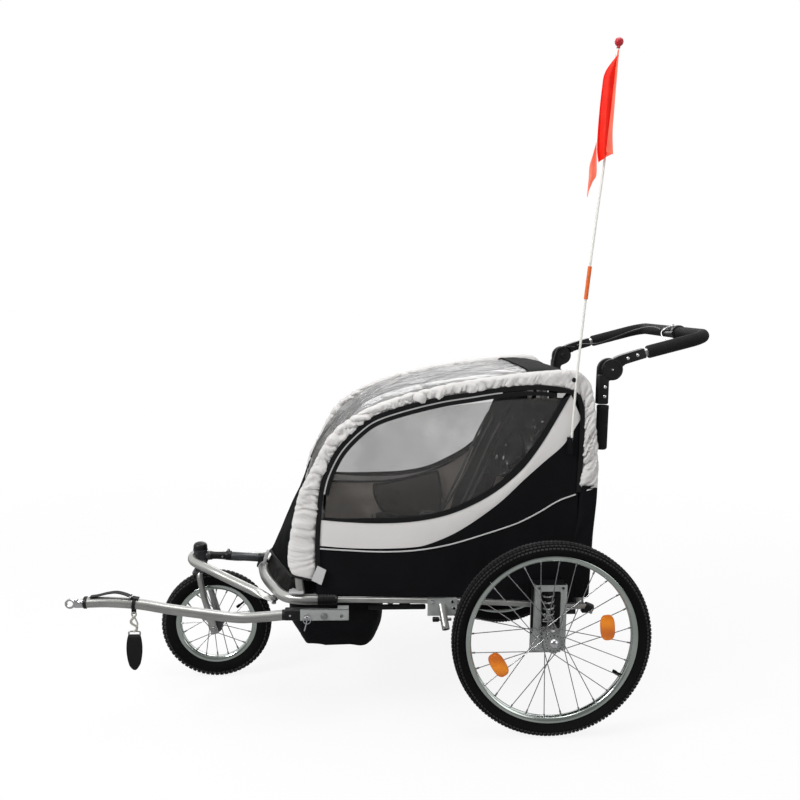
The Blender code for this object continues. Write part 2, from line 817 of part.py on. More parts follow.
def stroller_arm():
    """One bent tube round the head, its ends flattened and bolted under the bow."""
    nose = (*ARM_NOSE[:1], 0, ARM_NOSE[1])
    half = [
        (ARM_NOSE[0] + 0.012, 0.040, ARM_NOSE[1] - 0.004), (-0.880, 0.088, 0.338), ARM_SIDE,
        (-0.750, 0.179, 0.309), (ARM_END[0] - 0.018, ARM_END[1] - 0.013, ARM_END[2] - 0.006),
        (ARM_END[0] + 0.006, ARM_END[1] + 0.004, ARM_END[2] - 0.009),
    ]
    points = [(x, -y, z) for x, y, z in reversed(half)] + [nose] + half
    path = through(points, 2)
    count = len(path)
    flat = [min(i, count - 1 - i) for i in range(count)]
    high = [ARM_R if k > 5 else 0.0035 + (ARM_R - 0.0035) * max(0, k - 2) / 4 for k in flat]
    wide = [ARM_R if k > 5 else ARM_R + 0.002 for k in flat]
    arm = loft(rings_along(path, UP, high, wide, 8))
    head = bar((HEAD_X, 0, HEAD_LOW), (HEAD_X, 0, HEAD_HIGH), HEAD_R, 16)
    lug = bar((HEAD_X + HEAD_R * 0.8, 0, BRACE_Z), (HEAD_X + HEAD_R + 0.009, 0, BRACE_Z), 0.0135)
    bolts = []
    for side in (-1, 1):
        x, y = ARM_END[0] + 0.002, side * (ARM_END[1] + 0.002)
        bolts.append(
            bar((x, y, ARM_END[2] - 0.018), (x, y, BOW_Z - BOW_R + 0.0004), 0.0065, 8)
        )
    bore = bar((HEAD_X, 0, HEAD_LOW - 0.01), (HEAD_X, 0, HEAD_HIGH + 0.01), STEERER_R + RUN, 12)
    whole = cut(join(arm, head, lug, *bolts), bore)
    piece("stroller_arm", whole, silver())
    dome = [(0, HEAD_HIGH + CAP_H)]
    dome += [(HEAD_R * 0.55, HEAD_HIGH + CAP_H - 0.001), (HEAD_R * 0.88, HEAD_HIGH + CAP_H - 0.0045)]
    dome += [(HEAD_R * 0.96, HEAD_HIGH + GAP), (0, HEAD_HIGH + GAP)]
    piece("head_cap", shifted(turned(dome, 16), HEAD_X), black_plastic())


def brace():
    """The strut from the head to the bow: a thin tube in a fatter one, and a hooked end."""
    start = HEAD_X + HEAD_R + 0.009 + GAP
    collar = BRACE_JOINT_X
    end = BOW_NOSE - BOW_R + 0.001
    drop = 0.007
    thin = bar((start, 0, BRACE_Z), (collar, 0, BRACE_Z), BRACE_R)
    ring = bar((collar - 0.006, 0, BRACE_Z), (collar + 0.005, 0, BRACE_Z), BRACE_R + 0.0025)
    button = bar((collar, 0, BRACE_Z), (collar, 0, BRACE_Z + BRACE_R + 0.006), 0.004, 8)
    fat = bar((collar, 0, BRACE_Z - 0.002), (end, 0, BRACE_Z - drop), BRACE_R + 0.0008)
    outer = arc(BOW_NOSE, BOW_Z, BOW_R + 0.0065, -5, 185, 10)
    inner = arc(BOW_NOSE, BOW_Z, BOW_R + 0.0012, 185, -5, 10)
    hook = plate(outer + inner, -0.013, 0.013)
    piece("brace_strut", join(thin, ring, button, fat, hook), dark_grey())


def rail_z(x):
    """Height of the rails' middle line."""
    for (x0, z0), (x1, z1) in zip(zip(RAIL_X, RAIL_Z), zip(RAIL_X[1:], RAIL_Z[1:])):
        if x <= x1:
            return z0 + (z1 - z0) * (x - x0) / (x1 - x0)
    return RAIL_Z[-1]


def stub_bracket():
    """The riveted plate on the rail, with the short tube that points out and down."""
    z = rail_z(STUB_X)
    outer = PLATE_IN_Y - GAP
    sheet = block(
        (STUB_X - 0.040, -outer - WALL, z - 0.036), (STUB_X + 0.036, -outer + 0.003, z + 0.008)
    )
    rivets = [
        bar((STUB_X + step, -outer, z + 0.002), (STUB_X + step, -outer - WALL - 0.002, z + 0.002),
            0.005, 8)
        for step in (-0.029, 0.023)
    ]
    stub = bar(
        (STUB_X - 0.004, -outer + 0.001, z - 0.008), (STUB_X + 0.004, -STUB_Y - 0.006, STUB_LOW),
        STUB_R, 10,
    )
    screw = bar(
        (STUB_X - 0.016, -STUB_Y + 0.009, z - 0.036), (STUB_X + 0.020, -STUB_Y + 0.009, z - 0.036),
        0.004, 8,
    )
    return join(sheet, stub, screw, *rivets)


def floor_frame():
    """Two rails that plug into the bow, three cross tubes, and the stub brackets."""
    line = [(RAIL_X[0] - PLUG_L, -RAIL_Y, RAIL_Z[0])]
    line += [(x, -RAIL_Y, z) for x, z in zip(RAIL_X, RAIL_Z)]
    rail = tube(line, RAIL_R, UP, 8)
    cross = []
    for x in CROSS_X:
        z = rail_z(x) - CROSS_R - 0.004
        cross.append(bar((x, -RAIL_Y, z), (x, RAIL_Y, z), CROSS_R, 8))
    stub = stub_bracket()
    piece("floor_frame", join(rail, mirrored(rail), *cross, stub, mirrored(stub)), silver())


def bow_line():
    half = [
        (RAIL_X[0], RAIL_Y), (RAIL_X[0] - 0.042, RAIL_Y - 0.0025), (BOW_SHOULDER[0] + 0.033, TUB_HALF),
        BOW_SHOULDER, (BOW_NOSE + 0.013, 0.090),
    ]
    left = [(x, -y, BOW_Z) for x, y in half]
    right = [(x, y, BOW_Z) for x, y in reversed(half)]
    return through(left + [(BOW_NOSE, 0, BOW_Z)] + right, 3)


def front_bow():
    """The wide tube round the front, bored at both ends for the rails."""
    bow = tube(bow_line(), BOW_R)
    bores = [
        bar((RAIL_X[0] - PLUG_L - 0.001, side * RAIL_Y, BOW_Z),
            (RAIL_X[0] + 0.010, side * RAIL_Y, BOW_Z), RAIL_R + 2 * GAP, 12)
        for side in (-1, 1)
    ]
    piece("front_bow", cut(bow, *bores), silver())


def bow_sleeve():
    """A ribbed, tapered sleeve over the rail where it leaves the bow."""
    bore = RAIL_R + 2 * GAP
    profile = [(bore, 0.0), (BOW_R, 0.0)]
    ribs = 5
    for k in range(ribs):
        start = SLEEVE_L * (0.16 + 0.15 * k)
        radius = BOW_R - (BOW_R - RAIL_R - 0.002) * (0.16 + 0.15 * k)
        profile += [(radius, start), (radius - 0.0012, start + SLEEVE_L * 0.07)]
    profile += [(RAIL_R + 0.0018, SLEEVE_L), (bore, SLEEVE_L)]
    sleeve = moved(turned(profile, 10, ring=True), Matrix.Rotation(math.pi / 2, 4, "Y"))
    slope = math.atan2(RAIL_Z[0] - RAIL_Z[1], RAIL_X[1] - RAIL_X[0])
    sleeve = moved(sleeve, Matrix.Rotation(slope, 4, "Y"))
    both("bow_sleeve", shifted(sleeve, RAIL_X[0] + 0.0012, -RAIL_Y, BOW_Z), black_plastic())


def rail_joint():
    """The moulded end on each rail, its foot turned down and back."""
    x, z = RAIL_X[-1], RAIL_Z[-1]
    slope = Matrix.Rotation(math.radians(40), 4, "Y")
    body = moved(block((-0.015, -JOINT_R, -JOINT_R), (0.026, JOINT_R, JOINT_R), 0.004), slope)
    body = shifted(body, x + 0.006, -RAIL_Y, z - 0.004)
    before = RAIL_X[-2], RAIL_Z[-2]
    bore = bar(
        (before[0], -RAIL_Y, before[1]), (x + GAP, -RAIL_Y, z - GAP), RAIL_R + 2 * GAP, 12
    )
    both("rail_joint", cut(body, bore), black_plastic())


def arch_stations():
    """Points (x, z, half width of the sleeve) round the arch, foot to foot."""
    front = (ARCH_FOOT_X, BOW_Z + BOW_R + GAP + FOOT_LIFT, ARCH[0][2])
    rear_x = ARCH[-1][0]
    back = (rear_x, rail_z(rear_x) + RAIL_R + 4 * GAP + FOOT_LIFT, ARCH[-1][2])
    return through((front, *ARCH, back), 2)


def inward(line, i):
    """The direction from the arch's line towards the cabin, in x and z."""
    before, after = line[max(i - 1, 0)], line[min(i + 1, len(line) - 1)]
    ahead = Vector((after.x - before.x, after.y - before.y)).normalized()
    return Vector((ahead.y, -ahead.x))


def offset_line(line, picks, shift):
    """The arch's line moved towards the cabin by shift(station)."""
    made = []
    for i in picks:
        way = inward(line, i)
        step = shift(line[i])
        made.append((line[i].x + way.x * step, line[i].y + way.y * step))
    return made


def socket_clamp(margin=0.0):
    """The short web that holds the handle's socket to the arch."""
    z = SOCKET_Z[0] + 0.055
    return block(
        (ARCH[8][0] - margin, -ARCH_Y - 0.002 - margin, z - 0.010 - margin),
        (SOCKET_X - SOCKET_R - GAP + 2 * margin, -ARCH_Y + 0.016 + margin, z + 0.010 + margin),
    )


def crown_tubes(margin, reach):
    """The two tubes over the roof, from the left arch as far as a place across."""
    line = arch_stations()
    tubes = []
    for x in CROWN_X:
        near = min(line, key=lambda p: abs(p.x - x) if p.y > 0.7 else 9.0)
        tubes.append(bar((near.x, -ARCH_Y, near.y), (near.x, reach, near.y), CROWN_R + margin))
    return tubes


def cabin_frame():
    """Two arches standing on the rails, joined by two tubes over the roof."""
    line = [(p.x, -ARCH_Y, p.y) for p in arch_stations()]
    x, y, z = line[0]
    line.insert(0, (x, y, z - FOOT_LIFT))
    x, y, z = line[-1]
    line.append((x, y, z - FOOT_LIFT))
    arch = join(tube(line, ARCH_R, ACROSS), socket_clamp())
    piece("cabin_frame", join(arch, mirrored(arch), *crown_tubes(0.0, ARCH_Y)), silver())


def side_cover():
    """The side panel and the cloth sleeve that it hangs in, which is drawn over the arch."""
    line = arch_stations()
    first, last = 2, len(line) - 3
    run = line[first:last + 1]
    path = [Vector((p.x, -ARCH_Y, p.y)) for p in run]
    wide = [p.z for p in run]
    outer = rings_along(path, ACROSS, SLEEVE_T, wide, 8, 0.75)
    inner = rings_along(path, ACROSS, ARCH_R * 1.13, ARCH_R * 1.13, 8)
    sleeve = loft(outer + inner[::-1], closed=True)
    face = PLATE_IN_Y - 0.0008
    foot_z = BOW_Z + BOW_R + 0.003
    hem = offset_line(line, range(first, last + 1), lambda p: p.z - 0.006)
    edge = [point for point in hem if point[1] > foot_z + 0.01]
    edge += [(edge[-1][0], foot_z), (ARCH_FOOT_X + ARCH_R + 0.008, foot_z)]
    panel = plate(edge, -face, -face + PANEL_T)
    holes = crown_tubes(2 * GAP, -ARCH_Y + SLEEVE_T + 0.01)
    cover = cut(join(sleeve, panel), socket_clamp(2 * GAP), *holes)
    piece("side_cover_right", mirrored(cover), grey_cloth())
    piece("side_cover_left", join(cover, flag_pocket()), grey_cloth())


def skin(name, first, last, material):
    """A sheet across the cabin from one arch to the other, between two stations."""
    line = arch_stations()
    picks = range(first, last + 1)
    top = offset_line(line, picks, lambda p: -ARCH_R - 0.0005 - SKIN_T)
    low = offset_line(line, picks, lambda p: -ARCH_R - 0.0005)
    piece(name, plate(top + low[::-1], -SKIN_HALF, SKIN_HALF), material)


def cabin_skins():
    line = arch_stations()
    count = len(line)
    corner = min(range(count), key=lambda i: (line[i].x - ARCH[7][0]) ** 2 + (line[i].y - ARCH[7][1]) ** 2)
    skin("roof_cover", 4, corner, clear_film())
    top = offset_line(line, [corner], lambda p: -ARCH_R - 0.001)[0]
    x = BACK_X
    back = [
        (x, RAIL_Z[-1] + 0.016), (x + SKIN_T, RAIL_Z[-1] + 0.016), (x + SKIN_T, top[1] - 0.030),
        (top[0] + 0.002, top[1] - 0.0045), (top[0] - 0.003, top[1] - 0.0055), (x, top[1] - 0.034),
    ]
    piece("back_panel", plate(back, -SKIN_HALF, SKIN_HALF), black_cloth())


def plan(front, rear, half, corner, z):
    """A level ring with round front corners."""
    ring = []
    for k in range(5):
        turn = math.radians(180 + 90 * k / 4)
        ring.append((front + corner + corner * math.cos(turn), -half + corner + corner * math.sin(turn)))
    ring += [(rear - 0.012, -half), (rear, -half + 0.012)]
    ring += [(x, -y) for x, y in reversed(ring)]
    return [Vector((x, y, z)) for x, y in ring]


def floor_tub():
    """The cabin's floor, the footwell bag under its front, and the apron above the bow."""
    x0, x1 = BAG_X
    top_z = rail_z(x1)
    levels = (
        (x0 - 0.024, x1, TUB_HALF, 0.085, top_z + 0.010),
        (x0 - 0.020, x1, TUB_HALF, 0.085, top_z - 0.022),
        (x0 - 0.006, x1 - 0.006, TUB_HALF - 0.003, 0.075, BAG_Z + 0.050),
        (x0 + 0.020, x1 - 0.030, 0.238, 0.060, BAG_Z + 0.012),
        (x0 + 0.050, x1 - 0.046, 0.225, 0.050, BAG_Z),
    )
    outer = [plan(f, r, h, c, z) for f, r, h, c, z in levels]
    inner = [
        plan(f + SKIN_T, r - SKIN_T, h - SKIN_T, c - SKIN_T, z + (SKIN_T if z == BAG_Z else 0))
        for f, r, h, c, z in levels
    ]
    bag = loft(inner[::-1] + outer)
    end = ARCH[-1][0] + ARCH_R - 0.002
    top = [(x, rail_z(x)) for x in (x1 - 0.002, RAIL_X[1], RAIL_X[2], end)]
    sheet = plate(top + [(x, z - SKIN_T) for x, z in reversed(top)], -TUB_HALF, TUB_HALF)
    piece("floor_tub", join(bag, sheet, apron(x0, top_z)), black_cloth())


def apron(x0, top_z):
    """The front sheet from the bag's rim up to the roof, hollowed towards the arches."""
    rows = (
        (x0 - 0.0235, top_z + 0.004, TUB_HALF - 0.002), (x0 - 0.056, BOW_Z + 0.040, TUB_HALF - 0.003),
        (x0 - 0.044, 0.430, TUB_HALF - 0.003), (x0 - 0.016, 0.520, TUB_HALF - 0.003), (x0 + 0.003, 0.566, TUB_HALF - 0.003),
    )
    rings = []
    for k, (x, z, half) in enumerate(rows):
        bend = 0.070 * max(0.0, 1.0 - 0.25 * k)
        front = []
        for j in range(9):
            share = j / 4 - 1
            front.append(Vector((x + bend * abs(share) ** 3, half * share, z)))
        rings.append(front + [p + Vector((SKIN_T, 0, 0)) for p in reversed(front)])
    return loft(rings)


def seat():
    """A leaning back cushion hung from the roof tube, and a base with a skirt to the floor."""
    line = arch_stations()
    tube_at = min(line, key=lambda p: abs(p.x - CROWN_X[1]) if p.y > 0.7 else 9.0)
    rise = Vector((0.289, 0.957)) * (CROWN_R + 2 * GAP)
    high = (tube_at.x - rise.x, tube_at.y - rise.y)
    path = through((SEAT_LOW, (-0.150, 0.535), (-0.085, 0.700), high), 3)
    path = [Vector((p.x, 0, p.y)) for p in path]
    n = len(path) - 1
    thick = [SEAT_T * (0.18 + 0.32 * math.sin(math.pi * k / n) ** 0.5) for k in range(n + 1)]
    wide = [SEAT_HALF * (0.93 + 0.07 * math.sin(math.pi * k / n)) for k in range(n + 1)]
    back = loft(rings_along(path, ACROSS, wide, thick, 14, 0.5))
    piece("seat_back", back, black_cloth())
    x, z = SEAT_LOW
    floor = rail_z(SEAT_FRONT[0] + 0.022) + GAP
    path = through((
        (x - 0.022, z - 0.016), (x - 0.080, z - 0.012), SEAT_FRONT,
        (SEAT_FRONT[0] + 0.004, SEAT_FRONT[1] - 0.045), (SEAT_FRONT[0] + 0.020, floor),
    ), 3)
    path = [Vector((p.x, 0, p.y)) for p in path]
    n = len(path) - 1
    thick = [SEAT_T * (0.46 if k < 5 else 0.34 if k < 7 else 0.12) for k in range(n + 1)]
    thick[0] = SEAT_T * 0.22
    wide = [SEAT_HALF * (0.97 if 0 < k < 6 else 0.93) for k in range(n + 1)]
    base = loft(rings_along(path, ACROSS, wide, thick, 14, 0.5))
    trim = block((-1.0, -0.5, 0.0), (0.5, 0.5, floor))
    piece("seat_base", cut(base, trim), black_cloth())


def receiver():
    """The channel beside the bow that the tow bar turns in, with its pivot bolt."""
    outer = TOW_Y - BLOCK_W / 2 - RUN
    inner = TOW_Y + BLOCK_W / 2 + RUN
    low, high = RECEIVER_Z
    section = [
        (outer - WALL, low), (outer - WALL, high), (inner + WALL, high), (inner + WALL, low),
        (inner, low), (inner, high - WALL), (outer, high - WALL), (outer, low),
    ]
    channel = loft([[Vector((x, y, z)) for y, z in section] for x in RECEIVER_X])
    holes = [
        bar((PIVOT_X + step, outer - WALL - 0.01, PIVOT_Z),
            (PIVOT_X + step, inner + WALL + 0.01, PIVOT_Z), PIN_R + 2 * GAP, 12)
        for step in (-PIN_STEP, PIN_STEP)
    ]
    bolt = bar((PIVOT_X, outer - 0.001, PIVOT_Z), (PIVOT_X, inner + 0.001, PIVOT_Z), PIN_R, 12)
    head = bar(
        (PIVOT_X, outer - 0.001, PIVOT_Z), (PIVOT_X, outer - WALL - 0.0035, PIVOT_Z), 0.007, 6
    )
    piece("receiver_bracket", join(cut(channel, *holes), bolt, head), zinc())
    pin = bar(
        (PIVOT_X - PIN_STEP, outer - WALL - 0.001, PIVOT_Z),
        (PIVOT_X - PIN_STEP, inner + WALL - 0.0005, PIVOT_Z), PIN_R, 12,
    )
    cap = bar(
        (PIVOT_X - PIN_STEP, outer - WALL - GAP, PIVOT_Z),
        (PIVOT_X - PIN_STEP, outer - WALL - 0.004, PIVOT_Z), 0.0075, 12,
    )
    piece("hitch_pin", join(pin, cap), zinc(), (PIVOT_X - PIN_STEP, TOW_Y, PIVOT_Z))


def tow_bar():
    """The moulded end block, the bent tube and the turning coupler."""
    low, high = BLOCK_Z
    middle = (low + high) / 2
    radius = (high - low) / 2
    tail_x = PIVOT_X + TAIL_L - radius
    outline = [(BLOCK_FRONT, high), (BLOCK_FRONT, low)] + arc(tail_x, middle, radius, -90, 90, 8)
    half = BLOCK_W / 2
    body = plate(outline, TOW_Y - half, TOW_Y + half)
    run = through(((BLOCK_FRONT - 0.001, middle - 0.003), *TOW_RUN, TOW_END), 2)
    run = [Vector((p.x, TOW_Y, p.y)) for p in run]
    back = (run[0] - run[1]).normalized()
    spigot = bar(run[0] - back * SPIGOT_L, run[0] + back * 0.006, TOW_BORE - 0.0018, 12)
    hole = bar((PIVOT_X, TOW_Y - 0.02, PIVOT_Z), (PIVOT_X, TOW_Y + 0.02, PIVOT_Z), PIN_R + 2 * GAP)
    pin_x = PIVOT_X - PIN_STEP
    reach = PIN_R + 0.001
    notch = plate(
        [(pin_x + reach + 0.003, high + 0.010)] + [(pin_x - reach, high + 0.010)]
        + arc(pin_x, PIVOT_Z, reach, 180, 360, 6),
        TOW_Y - 0.02, TOW_Y + 0.02,
    )
    pivot = (PIVOT_X, TOW_Y, PIVOT_Z)
    piece("tow_block", cut(join(body, spigot), hole, notch), black_plastic(), pivot)
    piece("tow_tube", pipe(run, TOW_R, TOW_BORE, ACROSS, 8), silver(), pivot)
    coupler(run[-1])
    tow_straps(run)


def coupler(end):
    """The black collar and the flat eye at the front, which turn as the bicycle leans."""
    collar = bar((end.x - 2 * GAP, TOW_Y, end.z), (end.x - 0.0085, TOW_Y, end.z), TOW_R + 0.0025, 16)
    spigot = bar((end.x - 0.004, TOW_Y, end.z), (end.x + 0.026, TOW_Y, end.z), TOW_BORE - 0.0018)
    eye_z = end.z - 0.004
    outer = EYE_R + EYE_EDGE
    outline = [(end.x - 0.004, TOW_R * 0.8)] + [
        (EYE_X - outer * math.sin(a), outer * math.cos(a))
        for a in [math.pi * k / 10 for k in range(11)]
    ] + [(end.x - 0.004, -TOW_R * 0.8)]
    eye = loft([
        [Vector((x, TOW_Y + y, z)) for x, y in outline] for z in (eye_z - EYE_T / 2, eye_z + EYE_T / 2)
    ])
    hole = bar((EYE_X, TOW_Y, eye_z - 0.02), (EYE_X, TOW_Y, eye_z + 0.02), EYE_R, 20)
    whole = join(collar, spigot, cut(eye, hole))
    piece("hitch_coupler", whole, zinc(), (end.x, TOW_Y, end.z))


def ribbon(line, width, thick, y):
    """A flat band across the bar, along a line of (x, z) points."""
    path = [Vector((x, y, z)) for x, z in line]
    rings = []
    for point, across, other in frames(path, ACROSS):
        a, b = across * width / 2, other * thick / 2
        rings.append([point + a + b, point - a + b, point - a - b, point + a - b])
    return loft(rings)


def bar_z(run, x):
    near = sorted(run, key=lambda p: abs(p.x - x))[:2]
    share = (x - near[0].x) / (near[1].x - near[0].x)
    return near[0].z + (near[1].z - near[0].z) * share


def tow_straps(run):
    """The safety webbing along the bar, and the hook and loop that hang from it."""
    rings = []
    for x, long in ((-1.132, 0.014), (HANGER_X, 0.018)):
        z = bar_z(run, x)
        ring = shifted(
            turned([(TOW_R + GAP, -long / 2), (TOW_R + STRAP_T, -long / 2),
                    (TOW_R + STRAP_T, long / 2), (TOW_R + GAP, long / 2)], 16, ring=True),
            0,
        )
        lean = math.atan2(bar_z(run, x - 0.02) - z, 0.02)
        ring = moved(ring, Matrix.Rotation(math.pi / 2 + lean, 4, "Y"))
        rings.append(shifted(ring, x, TOW_Y, z))
    top = TOW_R + STRAP_T * 0.8
    line = through([
        (-1.136, bar_z(run, -1.136) + top), (-1.118, bar_z(run, -1.118) + top + 0.003),
        (-1.092, bar_z(run, -1.092) + top + 0.010), (-1.064, bar_z(run, -1.064) + top + 0.002),
        (HANGER_X - 0.004, bar_z(run, HANGER_X - 0.004) + top),
    ], 2)
    band = ribbon([(p.x, p.y) for p in line], 0.018, STRAP_T, TOW_Y)
    hang_z = bar_z(run, HANGER_X) - TOW_R - 0.010
    tab = block(
        (HANGER_X - 0.007, TOW_Y - 0.0015, hang_z - 0.007),
        (HANGER_X + 0.007, TOW_Y + 0.0015, hang_z + 0.0091),
    )
    eye = bar((HANGER_X, TOW_Y - 0.01, hang_z), (HANGER_X, TOW_Y + 0.01, hang_z), 0.0035, 10)
    strap = join(rings[0], rings[1], band, cut(tab, eye))
    piece("safety_strap", strap, webbing(), (PIVOT_X, TOW_Y, PIVOT_Z))
    hanger((HANGER_X, TOW_Y, hang_z))


def hoop(centre, first, second, a, b, wire, count=14, sides=5, power=0.7):
    """A closed wire loop, a squared oval in the plane of two directions."""
    rings = []
    for k in range(count):
        turn = 2 * math.pi * k / count
        c, s = math.cos(turn), math.sin(turn)
        point = centre + first * (a * math.copysign(abs(c) ** power, c))
        point += second * (b * math.copysign(abs(s) ** power, s))
        out = (first * (c * b) + second * (s * a)).normalized()
        normal = first.cross(second)
        rings.append([
            point + out * (wire * math.cos(q)) + normal * (wire * math.sin(q))
            for q in [2 * math.pi * j / sides for j in range(sides)]
        ])
    return loft(rings, closed=True)


def hanger(top):
    """A swivel hook whose eye hangs in the tab, and its webbing loop."""
    x, y, z = top
    wire = 0.0018
    eye_half = 0.0085
    eye_z = z - eye_half - 0.0014
    eye = hoop(Vector((x, y, eye_z)), ACROSS, UP, 0.0065, eye_half, wire)
    ring_half = 0.0085
    ring_z = z - HOOK_DROP
    stem = bar((x, y, eye_z - eye_half + 0.0008), (x, y, ring_z + ring_half - 0.0005), 0.0042)
    ring = hoop(
        Vector((x, y, ring_z)), ALONG, UP, LOOP_W / 2 + 0.007, ring_half, wire, power=0.4
    )
    piece("snap_hook", join(stem, eye, ring), chrome(), top)
    loop_top = ring_z - ring_half + wire + 3 * GAP
    thick = 0.0024
    outer = []
    inner = []
    for radius, into in ((0.0085, outer), (0.0085 - thick, inner)):
        centre_top = loop_top - 0.0085 + thick
        centre_low = loop_top - LOOP_L + 0.0085
        arc_top = arc(y, centre_top, radius, 0, 180, 6)
        arc_low = arc(y, centre_low, radius, 180, 360, 6)
        into += [Vector((0, a, b)) for a, b in arc_top + arc_low]
    half = LOOP_W / 2
    rings = [
        [p + Vector((x - half, 0, 0)) for p in outer], [p + Vector((x + half, 0, 0)) for p in outer],
        [p + Vector((x + half, 0, 0)) for p in inner], [p + Vector((x - half, 0, 0)) for p in inner],
    ]
    piece("strap_loop", loft(rings, closed=True), webbing(), top)


def on_handle(s, y, up=0.0):
    """A point on the handle: s along it from the knuckle's axis, up above its plane."""
    return Vector((
        KNUCKLE[0] + s * math.cos(TILT) - up * math.sin(TILT), y,
        KNUCKLE[1] + s * math.sin(TILT) + up * math.cos(TILT),
    ))


def disc(y_near, y_far, radius, steps=24):
    """A flat disc on the knuckle's axis, its rim a little rounded."""
    low, high = sorted((y_near, y_far))
    edge = 0.002
    profile = [
        (0, low), (radius - edge, low), (radius, low + edge), (radius, high - edge),
        (radius - edge, high), (0, high),
    ]
    made = moved(turned(profile, steps), Matrix.Rotation(-math.pi / 2, 4, "X"))
    return shifted(made, KNUCKLE[0], 0, KNUCKLE[1])


def knuckle_base():
    """The lower half of the folding knuckle: inner disc, stem, ring and socket."""
    x, z = KNUCKLE
    middle = GAP * 0.7
    inner = disc(-KNUCKLE_Y + middle, -KNUCKLE_Y + DISC_T, KNUCKLE_R)
    near, far = -KNUCKLE_Y - DISC_T, -KNUCKLE_Y + DISC_T
    left, right = SOCKET_X - 0.005 - STEM_W / 2, SOCKET_X - 0.005 + STEM_W / 2
    stem = block((left, near, SOCKET_Z[1] + 0.003), (right, far - 0.0004, z - 0.013), 0.004)
    room = bar((x, near - 0.01, z), (x, -KNUCKLE_Y + 0.002, z), KNUCKLE_R + RUN, 24)
    stem = cut(stem, room)
    socket = shifted(
        turned([
            (0, SOCKET_Z[0]), (SOCKET_R - 0.004, SOCKET_Z[0]), (SOCKET_R - 0.0005, SOCKET_Z[0] + 0.005),
            (SOCKET_R - 0.0005, SOCKET_Z[1] - 0.016), (SOCKET_R + 0.001, SOCKET_Z[1] - 0.012),
            (SOCKET_R + 0.001, SOCKET_Z[1]), (SOCKET_R - 0.003, SOCKET_Z[1] + 0.001),
            (SOCKET_R - 0.003, SOCKET_Z[1] + 0.006), (0, SOCKET_Z[1] + 0.006),
        ], 16),
        SOCKET_X, -KNUCKLE_Y,
    )
    rivets = [
        bar((SOCKET_X - 0.004, near - 0.0015, SOCKET_Z[1] + up),
            (SOCKET_X - 0.004, near + 0.004, SOCKET_Z[1] + up), 0.0045, 8)
        for up in (0.025, 0.049)
    ]
    whole = join(stem, inner, socket, *rivets)
    room = bar((x, -KNUCKLE_Y + DISC_T - BUTTON_T, z), (x, -KNUCKLE_Y + 0.05, z), BUTTON_R + GAP, 16)
    both("knuckle_base", cut(whole, room), black_plastic())


def knuckle_top():
    """The upper half: outer disc with its screw, and the arm that the handle plugs into."""
    x, z = KNUCKLE
    middle = GAP * 0.7
    outer = disc(-KNUCKLE_Y - DISC_T, -KNUCKLE_Y - middle, KNUCKLE_R)
    near, far = -KNUCKLE_Y - DISC_T, -KNUCKLE_Y + DISC_T
    arm = block((0.006, near + 0.0004, -0.0145), (ARM_L, far, 0.0145), 0.004)
    arm = moved(arm, Matrix.Rotation(-TILT, 4, "Y"))
    arm = shifted(arm, x, 0, z)
    room = bar((x, -KNUCKLE_Y - 0.002, z), (x, far + 0.01, z), KNUCKLE_R + RUN, 24)
    arm = cut(arm, room)
    screw = bar((x, near + 0.002, z), (x, near - 0.0025, z), 0.006, 10)
    rivets = [
        bar(on_handle(s, near + 0.004), on_handle(s, near - 0.0015), 0.0045, 8)
        for s in (0.044, 0.070)
    ]
    whole = join(outer, arm, screw, *rivets)
    bore = bar(
        on_handle(ARM_L - 0.030, -KNUCKLE_Y), on_handle(ARM_L + 0.01, -KNUCKLE_Y),
        HANDLE_TUBE_R + 2 * GAP, 16,
    )
    both("knuckle_top", cut(whole, bore), black_plastic(), (x, -KNUCKLE_Y, z))
    button = disc(-KNUCKLE_Y + DISC_T - BUTTON_T + BUTTON_TRAVEL + GAP,
                  -KNUCKLE_Y + DISC_T + BUTTON_TRAVEL, BUTTON_R, 16)
    both("tilt_button", button, zinc(), (x, -KNUCKLE_Y + DISC_T, z))


def handle_line(start):
    corners = [
        on_handle(start, -KNUCKLE_Y), on_handle(HANDLE_REACH, -KNUCKLE_Y),
        on_handle(HANDLE_REACH, KNUCKLE_Y), on_handle(start, KNUCKLE_Y),
    ]
    return bends(corners, CORNER_R, 23)


def handle():
    """The U-shaped tube and the foam over it."""
    flat = Vector((-math.sin(TILT), 0, math.cos(TILT)))
    line = handle_line(ARM_L - 0.028)
    pivot = (KNUCKLE[0], 0, KNUCKLE[1])
    piece("handle_tube", tube(line, HANDLE_TUBE_R, flat), silver(), pivot)
    over = handle_line(ARM_L + 0.010)
    grip = pipe(over, GRIP_R, HANDLE_TUBE_R * 1.09, flat, 8)
    piece("handle_grip", grip, foam(), pivot)


def on_bar(forward, y, up):
    """A point by the handle's cross bar: forward of it, across, and above its plane."""
    return on_handle(HANDLE_REACH - forward, y, up)


